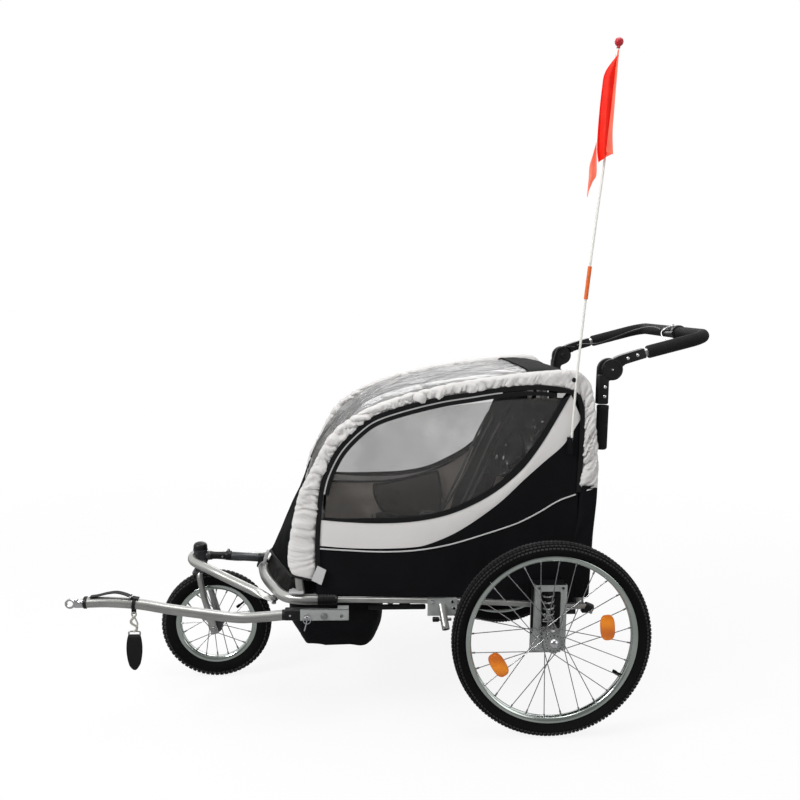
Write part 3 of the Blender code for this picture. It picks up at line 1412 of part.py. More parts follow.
def brake_lever():
    """The clamp round the grip, and the lever that swings towards the bar."""
    ring = turned([
        (GRIP_R + 2 * GAP, -0.009), (GRIP_R + CLAMP_T, -0.009), (GRIP_R + CLAMP_T, 0.009),
        (GRIP_R + 2 * GAP, 0.009),
    ], 16, ring=True)
    turn = Matrix.Rotation(-TILT, 4, "Y")
    ring = moved(ring, Matrix.Rotation(math.pi / 2, 4, "X"))
    body = block((-GRIP_R - 0.022, -0.007, 0.0040), (-GRIP_R * 0.6, 0.007, 0.0200), 0.002)
    stop = bar((-GRIP_R - 0.006, 0, 0.012), (-GRIP_R - 0.006, 0.040, 0.016), 0.0038, 8)
    slot = block((-GRIP_R - 0.030, -0.010, 0.0080), (-GRIP_R - 0.0095, 0.012, 0.0160))
    pin = bar((-GRIP_R - 0.016, 0, 0.0050), (-GRIP_R - 0.016, 0, 0.0190), 0.0020, 8)
    room = bar((0, -0.03, 0), (0, 0.03, 0), GRIP_R + 2 * GAP, 16)
    clamp = join(cut(join(cut(body, room), stop), slot), ring, pin)
    place = Matrix.Translation(on_bar(0, LEVER_Y, 0)) @ turn
    pivot = place @ Vector((-GRIP_R - 0.016, 0, 0.012))
    piece("brake_clamp", moved(clamp, place), black_plastic(), pivot)
    line = [(-GRIP_R - 0.0165, 0.004), (-GRIP_R - 0.020, -0.012), (-GRIP_R - 0.0215, -0.034),
            (-GRIP_R - 0.0185, -LEVER_L)]
    path = [Vector((p.x, p.y, 0.012)) for p in through(line, 3)]
    n = len(path) - 1
    wide = [0.0034 + 0.0022 * k / n for k in range(n + 1)]
    blade = loft(rings_along(path, UP, 0.0033, wide, 8, 0.8))
    boss = bar((-GRIP_R - 0.016, 0, 0.0087), (-GRIP_R - 0.016, 0, 0.0153), 0.0052, 12)
    hole = bar((-GRIP_R - 0.016, 0, 0.004), (-GRIP_R - 0.016, 0, 0.020), 0.0020 + 2 * GAP, 8)
    lever = moved(cut(join(blade, boss), hole), place)
    piece("brake_lever", lever, black_plastic(), pivot)


def cable(name, points, origin, spans):
    """A brake cable's outer, one smooth held run."""
    line = through(points, spans)
    wire = bpy.data.curves.new(name, "CURVE")
    wire.dimensions = "3D"
    wire.bevel_depth = CABLE_R
    wire.bevel_resolution = 1
    wire.use_fill_caps = True
    spline = wire.splines.new("POLY")
    spline.points.add(len(line) - 1)
    for knot, point in zip(spline.points, line):
        knot.co = (*(point - Vector(origin)), 1)
    wire.materials.append(cable_cover())
    item = bpy.data.objects.new(name, wire)
    bpy.context.scene.collection.objects.link(item)
    item.location = origin
    item.parent = TRAILER
    length = sum((b - a).length for a, b in zip(line, line[1:]))
    print(f"{name}: {length * 1000:.0f} mm")


def round_knuckle(angle, radius, y):
    """A point beside the knuckle, at an angle and a distance from its axis."""
    turn = math.radians(angle)
    return (KNUCKLE[0] + radius * math.cos(turn), y, KNUCKLE[1] + radius * math.sin(turn))


def cables():
    """The cable from the lever along the far arm, and on from the knuckle down the back."""
    x, z = KNUCKLE
    inside = KNUCKLE_Y - DISC_T - CABLE_R - 0.001
    start = on_bar(GRIP_R + 0.006, LEVER_Y + 0.0415, 0.0166)
    cable("brake_cable_upper", [
        start, on_bar(GRIP_R + 0.008, 0.030, 0.0230), on_bar(GRIP_R + 0.018, 0.090, 0.0230),
        on_bar(0.062, 0.160, 0.0150), on_bar(0.105, 0.205, 0.0060), on_handle(0.105, 0.226, 0.004),
        round_knuckle(33, 0.066, inside), round_knuckle(38, 0.0505, inside),
    ], (x, 0, z), 4)
    drop = BACK_X + SKIN_T + CABLE_R + GAP
    cable("brake_cable_lower", [
        round_knuckle(38.5, 0.0445, inside), round_knuckle(45, 0.0385, inside),
        round_knuckle(68, 0.0310, inside), round_knuckle(105, 0.0275, inside),
        round_knuckle(145, 0.0285, inside), (drop + 0.002, inside - 0.001, z - 0.030),
        (drop, inside - 0.004, SOCKET_Z[1]), (drop, inside - 0.008, 0.660),
        (drop, inside - 0.008, 0.500), (drop, inside - 0.006, 0.350),
    ], (0, 0, 0), 4)


def pole_line():
    """The pole's foot, its straight run in the pocket, and its lean above."""
    upper = [Vector((p.x, FLAG_Y, p.y)) for p in through(POLE, 4)]
    return [Vector((POLE_FOOT[0], FLAG_Y, POLE_FOOT[1]))] + upper


def pole_at(line, z):
    """The pole's centre at a height."""
    above = min((p for p in line if p.z >= z), key=lambda p: p.z)
    below = max((p for p in line if p.z < z), key=lambda p: p.z)
    return below.lerp(above, (z - below.z) / (above.z - below.z))


def flag_set():
    """A two-part pole with its ferrule and ball, standing in a side pocket, and its flag."""
    line = pole_line()
    foot = line[0]
    shape = bmesh.new()
    bmesh.ops.create_icosphere(
        shape, subdivisions=2, radius=BALL_R,
        matrix=Matrix.Translation(line[-1] + Vector((0, 0, BALL_R * 0.8))),
    )
    piece("flag_pole", join(tube(line, POLE_R, ACROSS, 8), to_mesh(shape)), glass_fibre(), foot)
    ends = [pole_at(line, z) for z in FERRULE_Z]
    middle = [p for p in line if FERRULE_Z[0] < p.z < FERRULE_Z[1]]
    near = [ends[0], *middle, ends[1]]
    ferrule = pipe(near, FERRULE_R, POLE_R + GAP, ACROSS, 8)
    piece("flag_ferrule", ferrule, signal(), foot)
    piece("flag", flag_cloth(line), signal(), foot)


def flag_cloth(line):
    """The flag hanging in three folds from its sleeve, its free corner lower than the rest."""
    rings = []
    for z, near, far, sway in FLAG_ROWS:
        edge = pole_at(line, z).x - POLE_R - GAP - FLAG_T / 2
        points = []
        for j in range(10):
            share = j / 9
            y = FLAG_Y + sway * math.sin(3.2 * math.pi * share) * min(1.0, 3 * share)
            points.append(Vector((edge - near - (far - near) * share, y, z)))
        front, back = [], []
        for j, point in enumerate(points):
            ahead = points[min(j + 1, 9)] - points[max(j - 1, 0)]
            normal = ahead.cross(UP).normalized() * (FLAG_T / 2)
            front.append(point + normal)
            back.append(point - normal)
        rings.append(front + back[::-1])
    low, high = FLAG_SLEEVE
    middle = [p for p in line if low < p.z < high]
    held = [pole_at(line, low), *middle, pole_at(line, high)]
    sleeve = pipe(held, POLE_R + GAP + FLAG_T, POLE_R + GAP, ACROSS, 8)
    return join(sleeve, loft(rings))


def flag_pocket(margin=0.0):
    """The cloth pocket on the left panel that the pole stands in."""
    foot = Vector((POLE_FOOT[0], FLAG_Y, POLE_FOOT[1]))
    way = (Vector((POLE[0][0], FLAG_Y, POLE[0][1])) - foot).normalized()
    tube_out = bar(foot - way * 0.004, foot + way * POCKET_H, POLE_R + 0.0036, 10)
    face = -(PLATE_IN_Y - 0.0008)
    web = block(
        (foot.x - 0.008, FLAG_Y + 0.0045, foot.z - 0.004),
        (foot.x + 0.012, face + 0.001, foot.z + POCKET_H),
    )
    bore = bar(foot - way * GAP, foot + way * (POCKET_H + 0.01), POLE_R + 0.0007, 10)
    return cut(join(tube_out, web), bore)


def build():
    clear_scene()
    root = bpy.data.objects.new("trailer", None)
    bpy.context.scene.collection.objects.link(root)
    root.location = (AXLE_X, 0, 0)
    return root


TRAILER = build()
floor_frame()
front_bow()
bow_sleeve()
rail_joint()
cabin_frame()
side_cover()
cabin_skins()
floor_tub()
seat()
suspension()
rear_wheels()
fork()
front_wheel()
stroller_arm()
brace()
receiver()
tow_bar()
knuckle_base()
knuckle_top()
handle()
brake_lever()
cables()
flag_set()
bpy.context.view_layer.update()
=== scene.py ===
"""A child bike trailer, dressed for its picture: one lesson in cells.

Lengths are in metres. X runs rearward, -Y is the left side with the tow bar, and Z is up.
"""
# %% [markdown]
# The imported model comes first. Every piece below is placed by it, so the looks can't drift away
# from the parts that move. Places are written as a maker measures them: x behind the rear axle, y
# from the middle and z above the ground. AXLE_X turns such an x into the model's own.

import json
import math

import bpy
from mathutils import Matrix, Vector, noise


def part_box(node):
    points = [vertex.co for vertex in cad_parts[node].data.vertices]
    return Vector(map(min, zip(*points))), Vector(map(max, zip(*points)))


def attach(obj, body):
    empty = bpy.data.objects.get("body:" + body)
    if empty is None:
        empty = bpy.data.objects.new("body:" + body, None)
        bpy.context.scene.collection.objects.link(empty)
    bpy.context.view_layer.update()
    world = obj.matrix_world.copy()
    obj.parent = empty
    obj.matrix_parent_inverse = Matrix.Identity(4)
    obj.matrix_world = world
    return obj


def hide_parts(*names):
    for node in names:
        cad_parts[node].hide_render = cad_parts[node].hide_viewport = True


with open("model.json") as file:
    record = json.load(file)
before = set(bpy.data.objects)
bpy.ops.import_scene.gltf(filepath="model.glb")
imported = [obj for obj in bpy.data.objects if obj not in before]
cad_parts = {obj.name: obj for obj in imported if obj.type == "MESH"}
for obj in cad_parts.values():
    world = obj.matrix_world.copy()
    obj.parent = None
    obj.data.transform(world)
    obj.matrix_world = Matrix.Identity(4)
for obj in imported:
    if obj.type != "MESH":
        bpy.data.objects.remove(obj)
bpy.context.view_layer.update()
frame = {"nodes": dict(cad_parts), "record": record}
low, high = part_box("rear_axle_left")
AXLE_X = (low.x + high.x) / 2
bpy.ops.object.select_all(action="DESELECT")
print("nodes", len(frame["nodes"]), "axle at", round(AXLE_X, 4))


UP, INTO, OUTWARD = Vector((0, 0, 1)), Vector((0, 1, 0)), Vector((0, -1, 0))


def place(x, y, z):
    """A point measured from the rear axle, in the model's frame."""
    return Vector((x + AXLE_X, y, z))


# %% [markdown]
# The camera stands where the photographer stood: a little ahead of the axle, 1.1 m up and looking
# slightly down. Its numbers were found from the wheels, whose real sizes are known. It is made
# before anything else, so that each new piece can be looked at from there.

# %% Camera
CAMERA_AT = (-0.4953, -2.3885, 1.0936)
FOCAL_PIXELS = 857.2
YAW, PITCH, ROLL = 0.0561, 0.1223, 0.0106

forward = Vector((
    math.sin(YAW) * math.cos(PITCH), math.cos(YAW) * math.cos(PITCH), -math.sin(PITCH),
))
right = Vector((math.cos(YAW), -math.sin(YAW), 0))
upward = right.cross(forward)
across = math.cos(ROLL) * right + math.sin(ROLL) * upward
upright = -math.sin(ROLL) * right + math.cos(ROLL) * upward
bpy.ops.object.camera_add(location=place(*CAMERA_AT))
camera = bpy.context.object
camera.name = "camera"
turn = Matrix((across, upright, -forward)).transposed()
camera.matrix_world = Matrix.Translation(place(*CAMERA_AT)) @ turn.to_4x4()
camera.data.sensor_width = 36
camera.data.lens = FOCAL_PIXELS / 800 * 36
camera.data.clip_start = 0.05
bpy.context.scene.camera = camera
print("lens", round(camera.data.lens, 2))

# %% [markdown]
# Studio light is large and soft. One broad lamp stands on the camera's left, a weaker one on the
# right fills the shadows, and one overhead draws the bright lines along tubes. The world gives the
# rest. Nothing here makes the background white: that is done below by what the camera sees.


# %% Lamps
def lamp(name, at, towards, size, power):
    bpy.ops.object.light_add(type="AREA", location=at)
    made = bpy.context.object
    made.name = name
    made.data.shape = "RECTANGLE"
    made.data.size, made.data.size_y = size
    made.data.energy = power
    made.rotation_euler = (Vector(towards) - Vector(at)).to_track_quat("-Z", "Y").to_euler()


lamp("key_lamp", (-2.9, -2.0, 2.9), (0.0, 0.0, 0.55), (1.3, 1.1), 95)
lamp("fill_lamp", (2.8, -2.6, 1.6), (0.1, 0.0, 0.5), (2.0, 2.0), 16)
lamp("top_lamp", (0.3, -0.3, 3.4), (0.0, 0.0, 0.4), (2.4, 1.6), 55)
lamp("back_lamp", (0.4, 3.0, 2.2), (0.0, 0.0, 0.5), (2.4, 1.8), 30)
scene = bpy.context.scene
scene.view_settings.view_transform = "Standard"

# %% [markdown]
# A material is a small graph. Writing it as sums is easier to read than wiring nodes by hand, so
# one class stands for a socket: + - * / and ** add a Math node each, and node() adds any other.


# %% Sockets as expressions
class Wire:
    """An output socket that can be used in sums."""

    def __init__(self, paint, socket):
        self.paint, self.socket = paint, socket

    def math(self, operation, *values):
        return self.paint.node("ShaderNodeMath", {"operation": operation}, dict(enumerate(values)))

    def __add__(self, other):
        return self.math("ADD", self, other)

    __radd__ = __add__

    def __sub__(self, other):
        return self.math("SUBTRACT", self, other)

    def __mul__(self, other):
        return self.math("MULTIPLY", self, other)

    __rmul__ = __mul__

    def __pow__(self, other):
        return self.math("POWER", self, other)

    def below(self, level):
        return self.math("LESS_THAN", self, level)

    def most(self, other):
        return self.math("MAXIMUM", self, other)

    def least(self, other):
        return self.math("MINIMUM", self, other)

    def sine(self):
        return self.math("SINE", self)

    def away(self):
        return self.math("ABSOLUTE", self)


class Graph:
    """A node tree and the ways to add nodes to it."""

    def __init__(self, tree):
        self.tree = tree

    def node(self, kind, settings=None, inputs=None, out=0):
        made = self.tree.nodes.new(kind)
        for name, value in (settings or {}).items():
            setattr(made, name, value)
        for name, value in (inputs or {}).items():
            self.link(value, made.inputs[name])
        return Wire(self, made.outputs[out])

    def link(self, value, socket):
        if isinstance(value, Wire):
            self.tree.links.new(value.socket, socket)
        elif hasattr(value, "__len__") and len(value) == 3 and len(socket.default_value) == 4:
            socket.default_value = (*value, 1)
        else:
            socket.default_value = value

    def spot(self):
        return self.node("ShaderNodeTexCoord", out=3)

    def noise(self, scale, detail=3.0, stretch=(1, 1, 1), rough=0.5):
        where = self.spot()
        if stretch != (1, 1, 1):
            where = self.node("ShaderNodeMapping", {}, {"Vector": where, "Scale": stretch})
        return self.node(
            "ShaderNodeTexNoise", {},
            {"Vector": where, "Scale": scale, "Detail": detail, "Roughness": rough},
        )

    def split(self):
        """The three coordinates of a place."""
        parts = self.node("ShaderNodeSeparateXYZ", {}, {"Vector": self.spot()})
        return [Wire(self, parts.socket.node.outputs[k]) for k in range(3)]

    def mix(self, share, first, second):
        """A colour between two, by a value from 0 to 1."""
        made = self.node("ShaderNodeMix", {"data_type": "RGBA"}, {0: share})
        for value, socket in (
            (first, made.socket.node.inputs[6]), (second, made.socket.node.inputs[7]),
        ):
            self.link(value, socket)
        return Wire(self, made.socket.node.outputs[2])

    def between(self, value, start, end, to=(0.0, 1.0)):
        """value read on the scale from start to end, kept inside it."""
        return self.node("ShaderNodeMapRange", {}, {
            "Value": value, "From Min": start, "From Max": end, "To Min": to[0], "To Max": to[1],
        })

    def bump(self, height, strength=0.3, distance=0.001, under=None):
        values = {"Height": height, "Strength": strength, "Distance": distance}
        if under is not None:
            values["Normal"] = under
        return self.node("ShaderNodeBump", {}, values)

    def rays(self):
        """Three switches: seen by the camera, in a mirror, and through something clear."""
        path = self.node("ShaderNodeLightPath").socket.node
        names = ("Is Camera Ray", "Is Glossy Ray", "Is Transmission Ray")
        return [Wire(self, path.outputs[name]) for name in names]


class Paint(Graph):
    """One material, with its shader and its output."""

    def __init__(self, name):
        self.material = bpy.data.materials.new(name)
        self.material.use_nodes = True
        super().__init__(self.material.node_tree)
        self.shader = self.tree.nodes["Principled BSDF"]
        self.output = self.tree.nodes["Material Output"]

    def set(self, **values):
        """Gives the shader's sockets their values: Base_Color stands for Base Color."""
        for name, value in values.items():
            self.link(value, self.shader.inputs[name.replace("_", " ")])


print("paint helpers ready")

# %% [markdown]
# Bare and painted metal. Silver paint on the tubes is a soft metallic grey: metal flakes under
# lacquer, so it is metallic but not smooth. A wide noise makes the lacquer a little uneven, as
# sprayed paint is, and a fine one gives it its grain.


# %% Metal finishes
def metal(name, color, dark, roughness, metallic, grain=900, coat=0.0):
    """A metal surface: two near colours, an uneven polish and a fine bump."""
    paint = Paint(name)
    cloud = paint.noise(14, 4)
    fine = paint.noise(grain, 2)
    shade = paint.between(cloud + fine * 0.25, 0.45, 0.75)
    paint.set(
        Base_Color=paint.mix(shade, color, dark),
        Metallic=metallic,
        Roughness=paint.between(
            cloud * 0.6 + fine * 0.4, 0.3, 0.7, (roughness - 0.06, roughness + 0.08),
        ),
        Coat_Weight=coat,
        Coat_Roughness=0.25,
        Normal=paint.bump(fine, 0.12, 0.0002),
    )
    return paint.material


silver_paint = metal("silver_paint", (0.46, 0.465, 0.445), (0.37, 0.375, 0.36), 0.32, 0.8, 700, 0.3)
zinc_steel = metal("zinc_steel", (0.48, 0.49, 0.49), (0.37, 0.38, 0.385), 0.28, 0.92, 400)
plate_steel = metal("plate_steel", (0.52, 0.54, 0.53), (0.42, 0.44, 0.43), 0.42, 0.55, 400)
spring_steel = metal("spring_steel", (0.78, 0.79, 0.8), (0.66, 0.67, 0.68), 0.26, 0.7, 300)
spoke_steel = metal("spoke_steel", (0.4, 0.4, 0.41), (0.3, 0.3, 0.31), 0.24, 0.92, 300)
chrome = metal("chrome", (0.8, 0.8, 0.82), (0.72, 0.72, 0.74), 0.12, 1.0, 300)
rim_chrome = metal("rim_chrome", (0.66, 0.71, 0.68), (0.56, 0.62, 0.58), 0.13, 1.0, 300)
hook_cream = metal("hook_cream", (0.58, 0.57, 0.5), (0.44, 0.43, 0.37), 0.3, 0.55, 300, 0.2)
dark_metal = metal("dark_metal", (0.055, 0.058, 0.062), (0.035, 0.036, 0.04), 0.38, 0.35, 600, 0.2)

# %% [markdown]
# Moulded plastic has a fine spark-eroded grain that catches light in tiny points, closed-cell foam
# is softer and duller, and a tyre is a dusty black. Each is one dark colour with its own bump.


# %% Plastic, foam and rubber
def moulded(name, color, roughness, grain, depth, dust=0.02, specular=0.45):
    """Black goods: a fine grain and a thin cloud of dust."""
    paint = Paint(name)
    fine = paint.noise(grain, 2)
    cloud = paint.noise(9, 4)
    lift = tuple(c + dust for c in color)
    paint.set(
        Base_Color=paint.mix(paint.between(cloud, 0.45, 0.75), color, lift),
        Roughness=paint.between(cloud + fine * 0.3, 0.4, 0.9, (roughness - 0.05, roughness + 0.1)),
        Specular_IOR_Level=specular,
        Normal=paint.bump(fine, 0.35, depth),
    )
    return paint.material


black_plastic = moulded("black_plastic", (0.006, 0.006, 0.007), 0.4, 1500, 0.0002, 0.004, 0.32)
black_foam = moulded("black_foam", (0.007, 0.007, 0.008), 0.78, 1100, 0.0006, 0.006, 0.2)
tyre_rubber = moulded("tyre_rubber", (0.0026, 0.0026, 0.003), 0.66, 700, 0.0004, 0.002, 0.1)
tread_rubber = moulded("tread_rubber", (0.016, 0.016, 0.0165), 0.6, 700, 0.0005, 0.024, 0.3)
cable_cover = moulded("cable_cover", (0.012, 0.012, 0.013), 0.38, 900, 0.0001, 0.006)

# %% [markdown]
# The covers are woven from thick nylon yarn. Close up a plain weave is a chessboard of bumps, one
# yarn over and one under. Two sine waves give that: their product is high where the crosswise yarn
# is on top and low where the lengthwise yarn is. The two directions that lie in the cloth are
# picked by name, and a slow noise makes the cloth's tone and sheen uneven, as on any sewn cover.


# %% Woven cloth
def weave_of(paint, axes, pitch):
    """The height of a plain weave on two of the three coordinates, from 0 to 1."""
    x, y, z = paint.split()
    picked = {"x": x, "y": y, "z": z}
    turn = math.pi / pitch
    first, second = (picked[name] * turn for name in axes)
    return first.sine() * second.sine() * 0.5 + 0.5


def woven(
    name, color, dark, axes="xz", pitch=0.0011, roughness=0.75, wrinkle=0.5, sheen=0.03,
    specular=0.22,
):
    paint = Paint(name)
    weave = weave_of(paint, axes, pitch)
    cloud = paint.noise(7, 5)
    crease = paint.noise(24, 4, (1.0, 1.0, 1.6), rough=0.55)
    tone = paint.between(cloud * 0.7 + weave * 0.3, 0.35, 0.7)
    folds = paint.bump(crease, wrinkle * 0.5, 0.006)
    paint.set(
        Base_Color=paint.mix(tone, dark, color),
        Roughness=paint.between(weave, 0.0, 1.0, (roughness + 0.08, roughness - 0.06)),
        Sheen_Weight=sheen,
        Sheen_Roughness=0.4,
        Specular_IOR_Level=specular,
        Normal=paint.bump(weave, 0.35, 0.0004, folds),
    )
    return paint.material


black_cloth = woven(
    "black_cloth", (0.0036, 0.0038, 0.0054), (0.0016, 0.0017, 0.0026), sheen=0.012, specular=0.16,
)
# A darker copy of the black cloth with no sheen, for the apron, the back and the seat: painted
# shade.
black_cloth_shaded = woven(
    "black_cloth_shaded", (0.0018, 0.0019, 0.0027), (0.0009, 0.001, 0.0014), "yz", sheen=0.0,
    specular=0.05,
)
black_cloth_flat = woven(
    "black_cloth_flat", (0.0042, 0.0044, 0.0058), (0.0022, 0.0023, 0.0032), "xy",
)
coated_cloth = woven(
    "coated_cloth", (0.004, 0.003, 0.0024), (0.0012, 0.001, 0.0008), "xy", roughness=0.42,
    wrinkle=1.2, sheen=0.0, specular=0.08,
)
grey_cloth = woven("grey_cloth", (0.66, 0.645, 0.635), (0.6, 0.585, 0.575), wrinkle=0.25)
lining_cloth = woven("lining_cloth", (0.62, 0.555, 0.505), (0.5, 0.445, 0.4), wrinkle=0.8)
binding_tape = woven(
    "binding_tape", (0.007, 0.007, 0.008), (0.005, 0.005, 0.0055), "xz", 0.0016, 0.6, 0.1,
)
black_webbing = woven(
    "black_webbing", (0.008, 0.008, 0.009), (0.004, 0.004, 0.0045), "xz", 0.0021, 0.6, 0.1,
)
piping_tape = woven("piping_tape", (0.52, 0.52, 0.52), (0.44, 0.44, 0.44), "xz", 0.0016, 0.6, 0.0)

# %% [markdown]
# The windows and the roof are clear vinyl. It is not quite clear: it dulls what is behind it to
# grey and throws back white glints where it ripples. Alpha lets most of the light through, a low
# roughness keeps the shine, and two noises of different size give the ripples their glints. The
# crumpled sheet inside is too small for true mirror images, so its tall glints are painted.


# %% Clear vinyl film
def film(name, color, alpha, ripple, roughness=0.1, specular=0.8, glints=0.0):
    paint = Paint(name)
    painted_glint_streaks = paint.noise(75, 3, (1.0, 1.0, 0.3))
    wide = paint.noise(9, 3, (1.0, 1.0, 1.3), rough=0.6)
    small = paint.noise(38, 3, (1.0, 1.0, 1.5), rough=0.65)
    haze = paint.noise(5, 3)
    broad = paint.bump(wide, ripple, 0.02)
    paint.set(
        # With glints set, bright painted highlights (noise streaks) are mixed into the colour.
        Base_Color=paint.mix(
            paint.between(painted_glint_streaks, 0.655, 0.7) * glints, color, (0.82, 0.81, 0.79),
        ),
        Roughness=paint.between(haze, 0.35, 0.7, (roughness - 0.03, roughness + 0.1)),
        Specular_IOR_Level=specular,
        Alpha=paint.between(haze, 0.3, 0.7, (alpha - 0.06, alpha + 0.08)),
        Normal=paint.bump(small, ripple * 0.6, 0.006, broad),
    )
    return paint.material


side_film = film("side_film", (0.1, 0.097, 0.094), 0.22, 0.3, 0.1, 0.45)
dark_film = film("dark_film", (0.004, 0.004, 0.005), 1.0, 1.5, 0.13, 0.5, 1.0)
roof_film = film("roof_film", (0.14, 0.135, 0.13), 0.36, 0.45)

# %% [markdown]
# The last finishes: the signal flag has a faint painted glow, emission standing in for the light
# that comes through thin nylon; the reflectors are moulded with rows of small prisms behind a clear
# face and have a fainter painted glow; the pole is pulled glass fibre with faint lines along it,
# and the pocket inside is an open net.


# %% Flag, reflector, pole and net
def flag_finish(name, color, light, glow):
    """Thin dyed nylon: a fine weave, and an emission glow painted in for light coming through it.
    """
    paint = Paint(name)
    weave = weave_of(paint, "xz", 0.0009)
    cloud = paint.noise(30, 3)
    paint.set(
        Base_Color=paint.mix(paint.between(cloud, 0.35, 0.65), color, light),
        Roughness=0.62,
        Specular_IOR_Level=0.25,
        Emission_Color=(*light, 1.0),
        Emission_Strength=glow,
        Normal=paint.bump(weave, 0.3, 0.0003),
    )
    return paint.material


# Both flag finishes carry a painted glow for light through the nylon; the single layer is painted
# lighter and glows more.
signal_cloth = flag_finish("signal_cloth", (0.78, 0.008, 0.002), (0.86, 0.02, 0.006), 0.17)
signal_thin_glow = flag_finish("signal_thin_glow", (0.86, 0.14, 0.085), (0.92, 0.2, 0.13), 0.3)

lens_paint = Paint("amber_lens")
lens_x, _, lens_z = lens_paint.split()
facets = (lens_x * 900).sine() * (lens_z * 900).sine()
bands = (lens_z * 110).sine() * 0.5 + 0.5
lens_paint.set(
    Base_Color=lens_paint.mix(
        facets * 0.15 + bands * 0.7, (0.52, 0.105, 0.001), (0.86, 0.27, 0.004),
    ),
    Roughness=0.16,
    # A faint painted glow: emission gives the lens a little light of its own.
    Emission_Color=(1.0, 0.3, 0.01, 1.0),
    Emission_Strength=0.06,
    Coat_Weight=0.6,
    Coat_Roughness=0.05,
    Normal=lens_paint.bump(facets, 0.35, 0.0006),
)
amber_lens = lens_paint.material

ball_finish = moulded("signal_plastic", (0.42, 0.004, 0.012), 0.35, 600, 0.0001, 0.03)
ferrule_finish = moulded("orange_plastic", (0.72, 0.125, 0.01), 0.38, 600, 0.0001, 0.03)

pole_paint = Paint("glass_fibre")
strands = pole_paint.noise(2200, 2, (1.0, 1.0, 0.02))
pole_paint.set(
    Base_Color=pole_paint.mix(strands, (0.8, 0.79, 0.74), (0.7, 0.69, 0.65)),
    Roughness=0.38,
    Normal=pole_paint.bump(strands, 0.15, 0.0001),
)
glass_fibre = pole_paint.material

net_paint = Paint("pocket_net")
net_x, _, net_z = net_paint.split()
diagonal = ((net_x + net_z) * 1250).sine().away()
other = ((net_x - net_z) * 1250).sine().away()
threads = diagonal.least(other).below(0.42)
net_paint.set(
    Base_Color=(0.016, 0.016, 0.017, 1), Roughness=0.8,
    Alpha=net_paint.between(threads, 0, 1, (0.3, 1.0)),
)
pocket_net = net_paint.material
print("finishes", len(bpy.data.materials))

# %% [markdown]
# The floor is pale and plain. The camera sees it, and the backdrop behind, as white, while the
# floor still shows the trailer's soft shadow: part of its light is its own, which a shadow can't
# darken, and part is the lamps'. Bright metal mirrors a room that is dark on the camera's side and
# white behind, as a studio is: without that contrast chrome looks like grey paint.

# %% Floor and surroundings
bpy.ops.mesh.primitive_plane_add(size=60, location=(0, 0, 0))
floor = bpy.context.object
floor.name = "floor"
floor_paint = Paint("floor_white")
floor_paint.set(Base_Color=(0.86, 0.86, 0.86, 1), Roughness=0.9)
by_camera, by_mirror, by_film = floor_paint.rays()
seen = by_camera.most(by_film)
glow = floor_paint.node("ShaderNodeEmission", {}, {"Color": (1, 1, 1, 1), "Strength": 1.0})
dim = floor_paint.node("ShaderNodeEmission", {}, {"Color": (1, 1, 1, 1), "Strength": 0.26})
far_x, far_y, _ = floor_paint.split()
distance = (far_x * far_x + far_y * far_y) ** 0.5
share = floor_paint.between(distance, 1.1, 3.0, (0.88, 1.0))
lit = Wire(floor_paint, floor_paint.shader.outputs[0])
blend = floor_paint.node("ShaderNodeMixShader", {}, {0: seen * share, 1: lit, 2: glow})
blend = floor_paint.node("ShaderNodeMixShader", {}, {0: by_mirror * share, 1: blend, 2: dim})
floor_paint.link(blend, floor_paint.output.inputs[0])
floor.data.materials.append(floor_paint.material)

world = bpy.data.worlds.new("studio")
scene.world = world
world.use_nodes = True
sky = Graph(world.node_tree)
surround = sky.tree.nodes["Background"]
by_camera, by_mirror, by_film = sky.rays()
level = sky.between(by_camera.most(by_mirror).most(by_film), 0, 1, (0.34, 1.0))
way = sky.node("ShaderNodeSeparateXYZ", {}, {0: sky.node("ShaderNodeTexCoord")}, out=1)
room = sky.node("ShaderNodeMapRange", {"interpolation_type": "SMOOTHSTEP"}, {
    "Value": way, "From Min": -0.75, "From Max": 0.25, "To Min": 0.18, "To Max": 1.0,
})
mirrored_room = sky.node(
    "ShaderNodeMix", {"data_type": "FLOAT"}, {"Factor": by_mirror, "A": 1.0, "B": room},
)
surround.inputs["Color"].default_value = (1, 1, 1, 1)
sky.link(level * mirrored_room, surround.inputs["Strength"])
print("floor and world ready")

# %% [markdown]
# Every CAD node gets its finish from a table of slots. Nodes that stay in view keep it, and the
# new pieces further down are given the same finishes directly.

# %% Finishes on the frame's own nodes
BY_SLOT = {
    "silver_paint": silver_paint, "zinc": zinc_steel, "chrome": chrome,
    "dark_grey_paint": dark_metal,
    "black_plastic": black_plastic, "black_foam": black_foam, "tyre_rubber": tyre_rubber,
    "cable_cover": cable_cover, "black_cloth": black_cloth, "grey_cloth": grey_cloth,
    "clear_film": side_film, "black_webbing": black_webbing, "amber_lens": amber_lens,
    "signal_orange": signal_cloth, "glass_fibre": glass_fibre,
}
SLOT_OF = {part["node"]: part["material_slot"] for part in frame["record"]["subparts"]}
for name, node in frame["nodes"].items():
    node.data.materials.clear()
    node.data.materials.append(BY_SLOT[SLOT_OF[name]])
for side in ("left", "right"):
    frame["nodes"]["tilt_button_" + side].data.materials[0] = black_plastic
print("dressed", len(SLOT_OF), "nodes")

# %% [markdown]
# The same few moves make most pieces, so they are written once. clear() deselects everything.
# settle() gives a finished mesh its name, finish and body, and puts its place in its mesh.
# The edit-mode moves below are the ones a modeller would make by hand.


# %% Modelling helpers
def clear():
    if bpy.context.object and bpy.context.object.mode != "OBJECT":
        bpy.ops.object.mode_set(mode="OBJECT")
    bpy.ops.object.select_all(action="DESELECT")


def pick(*objects):
    clear()
    for item in objects:
        item.select_set(True)
    bpy.context.view_layer.objects.active = objects[0]
    return objects[0]


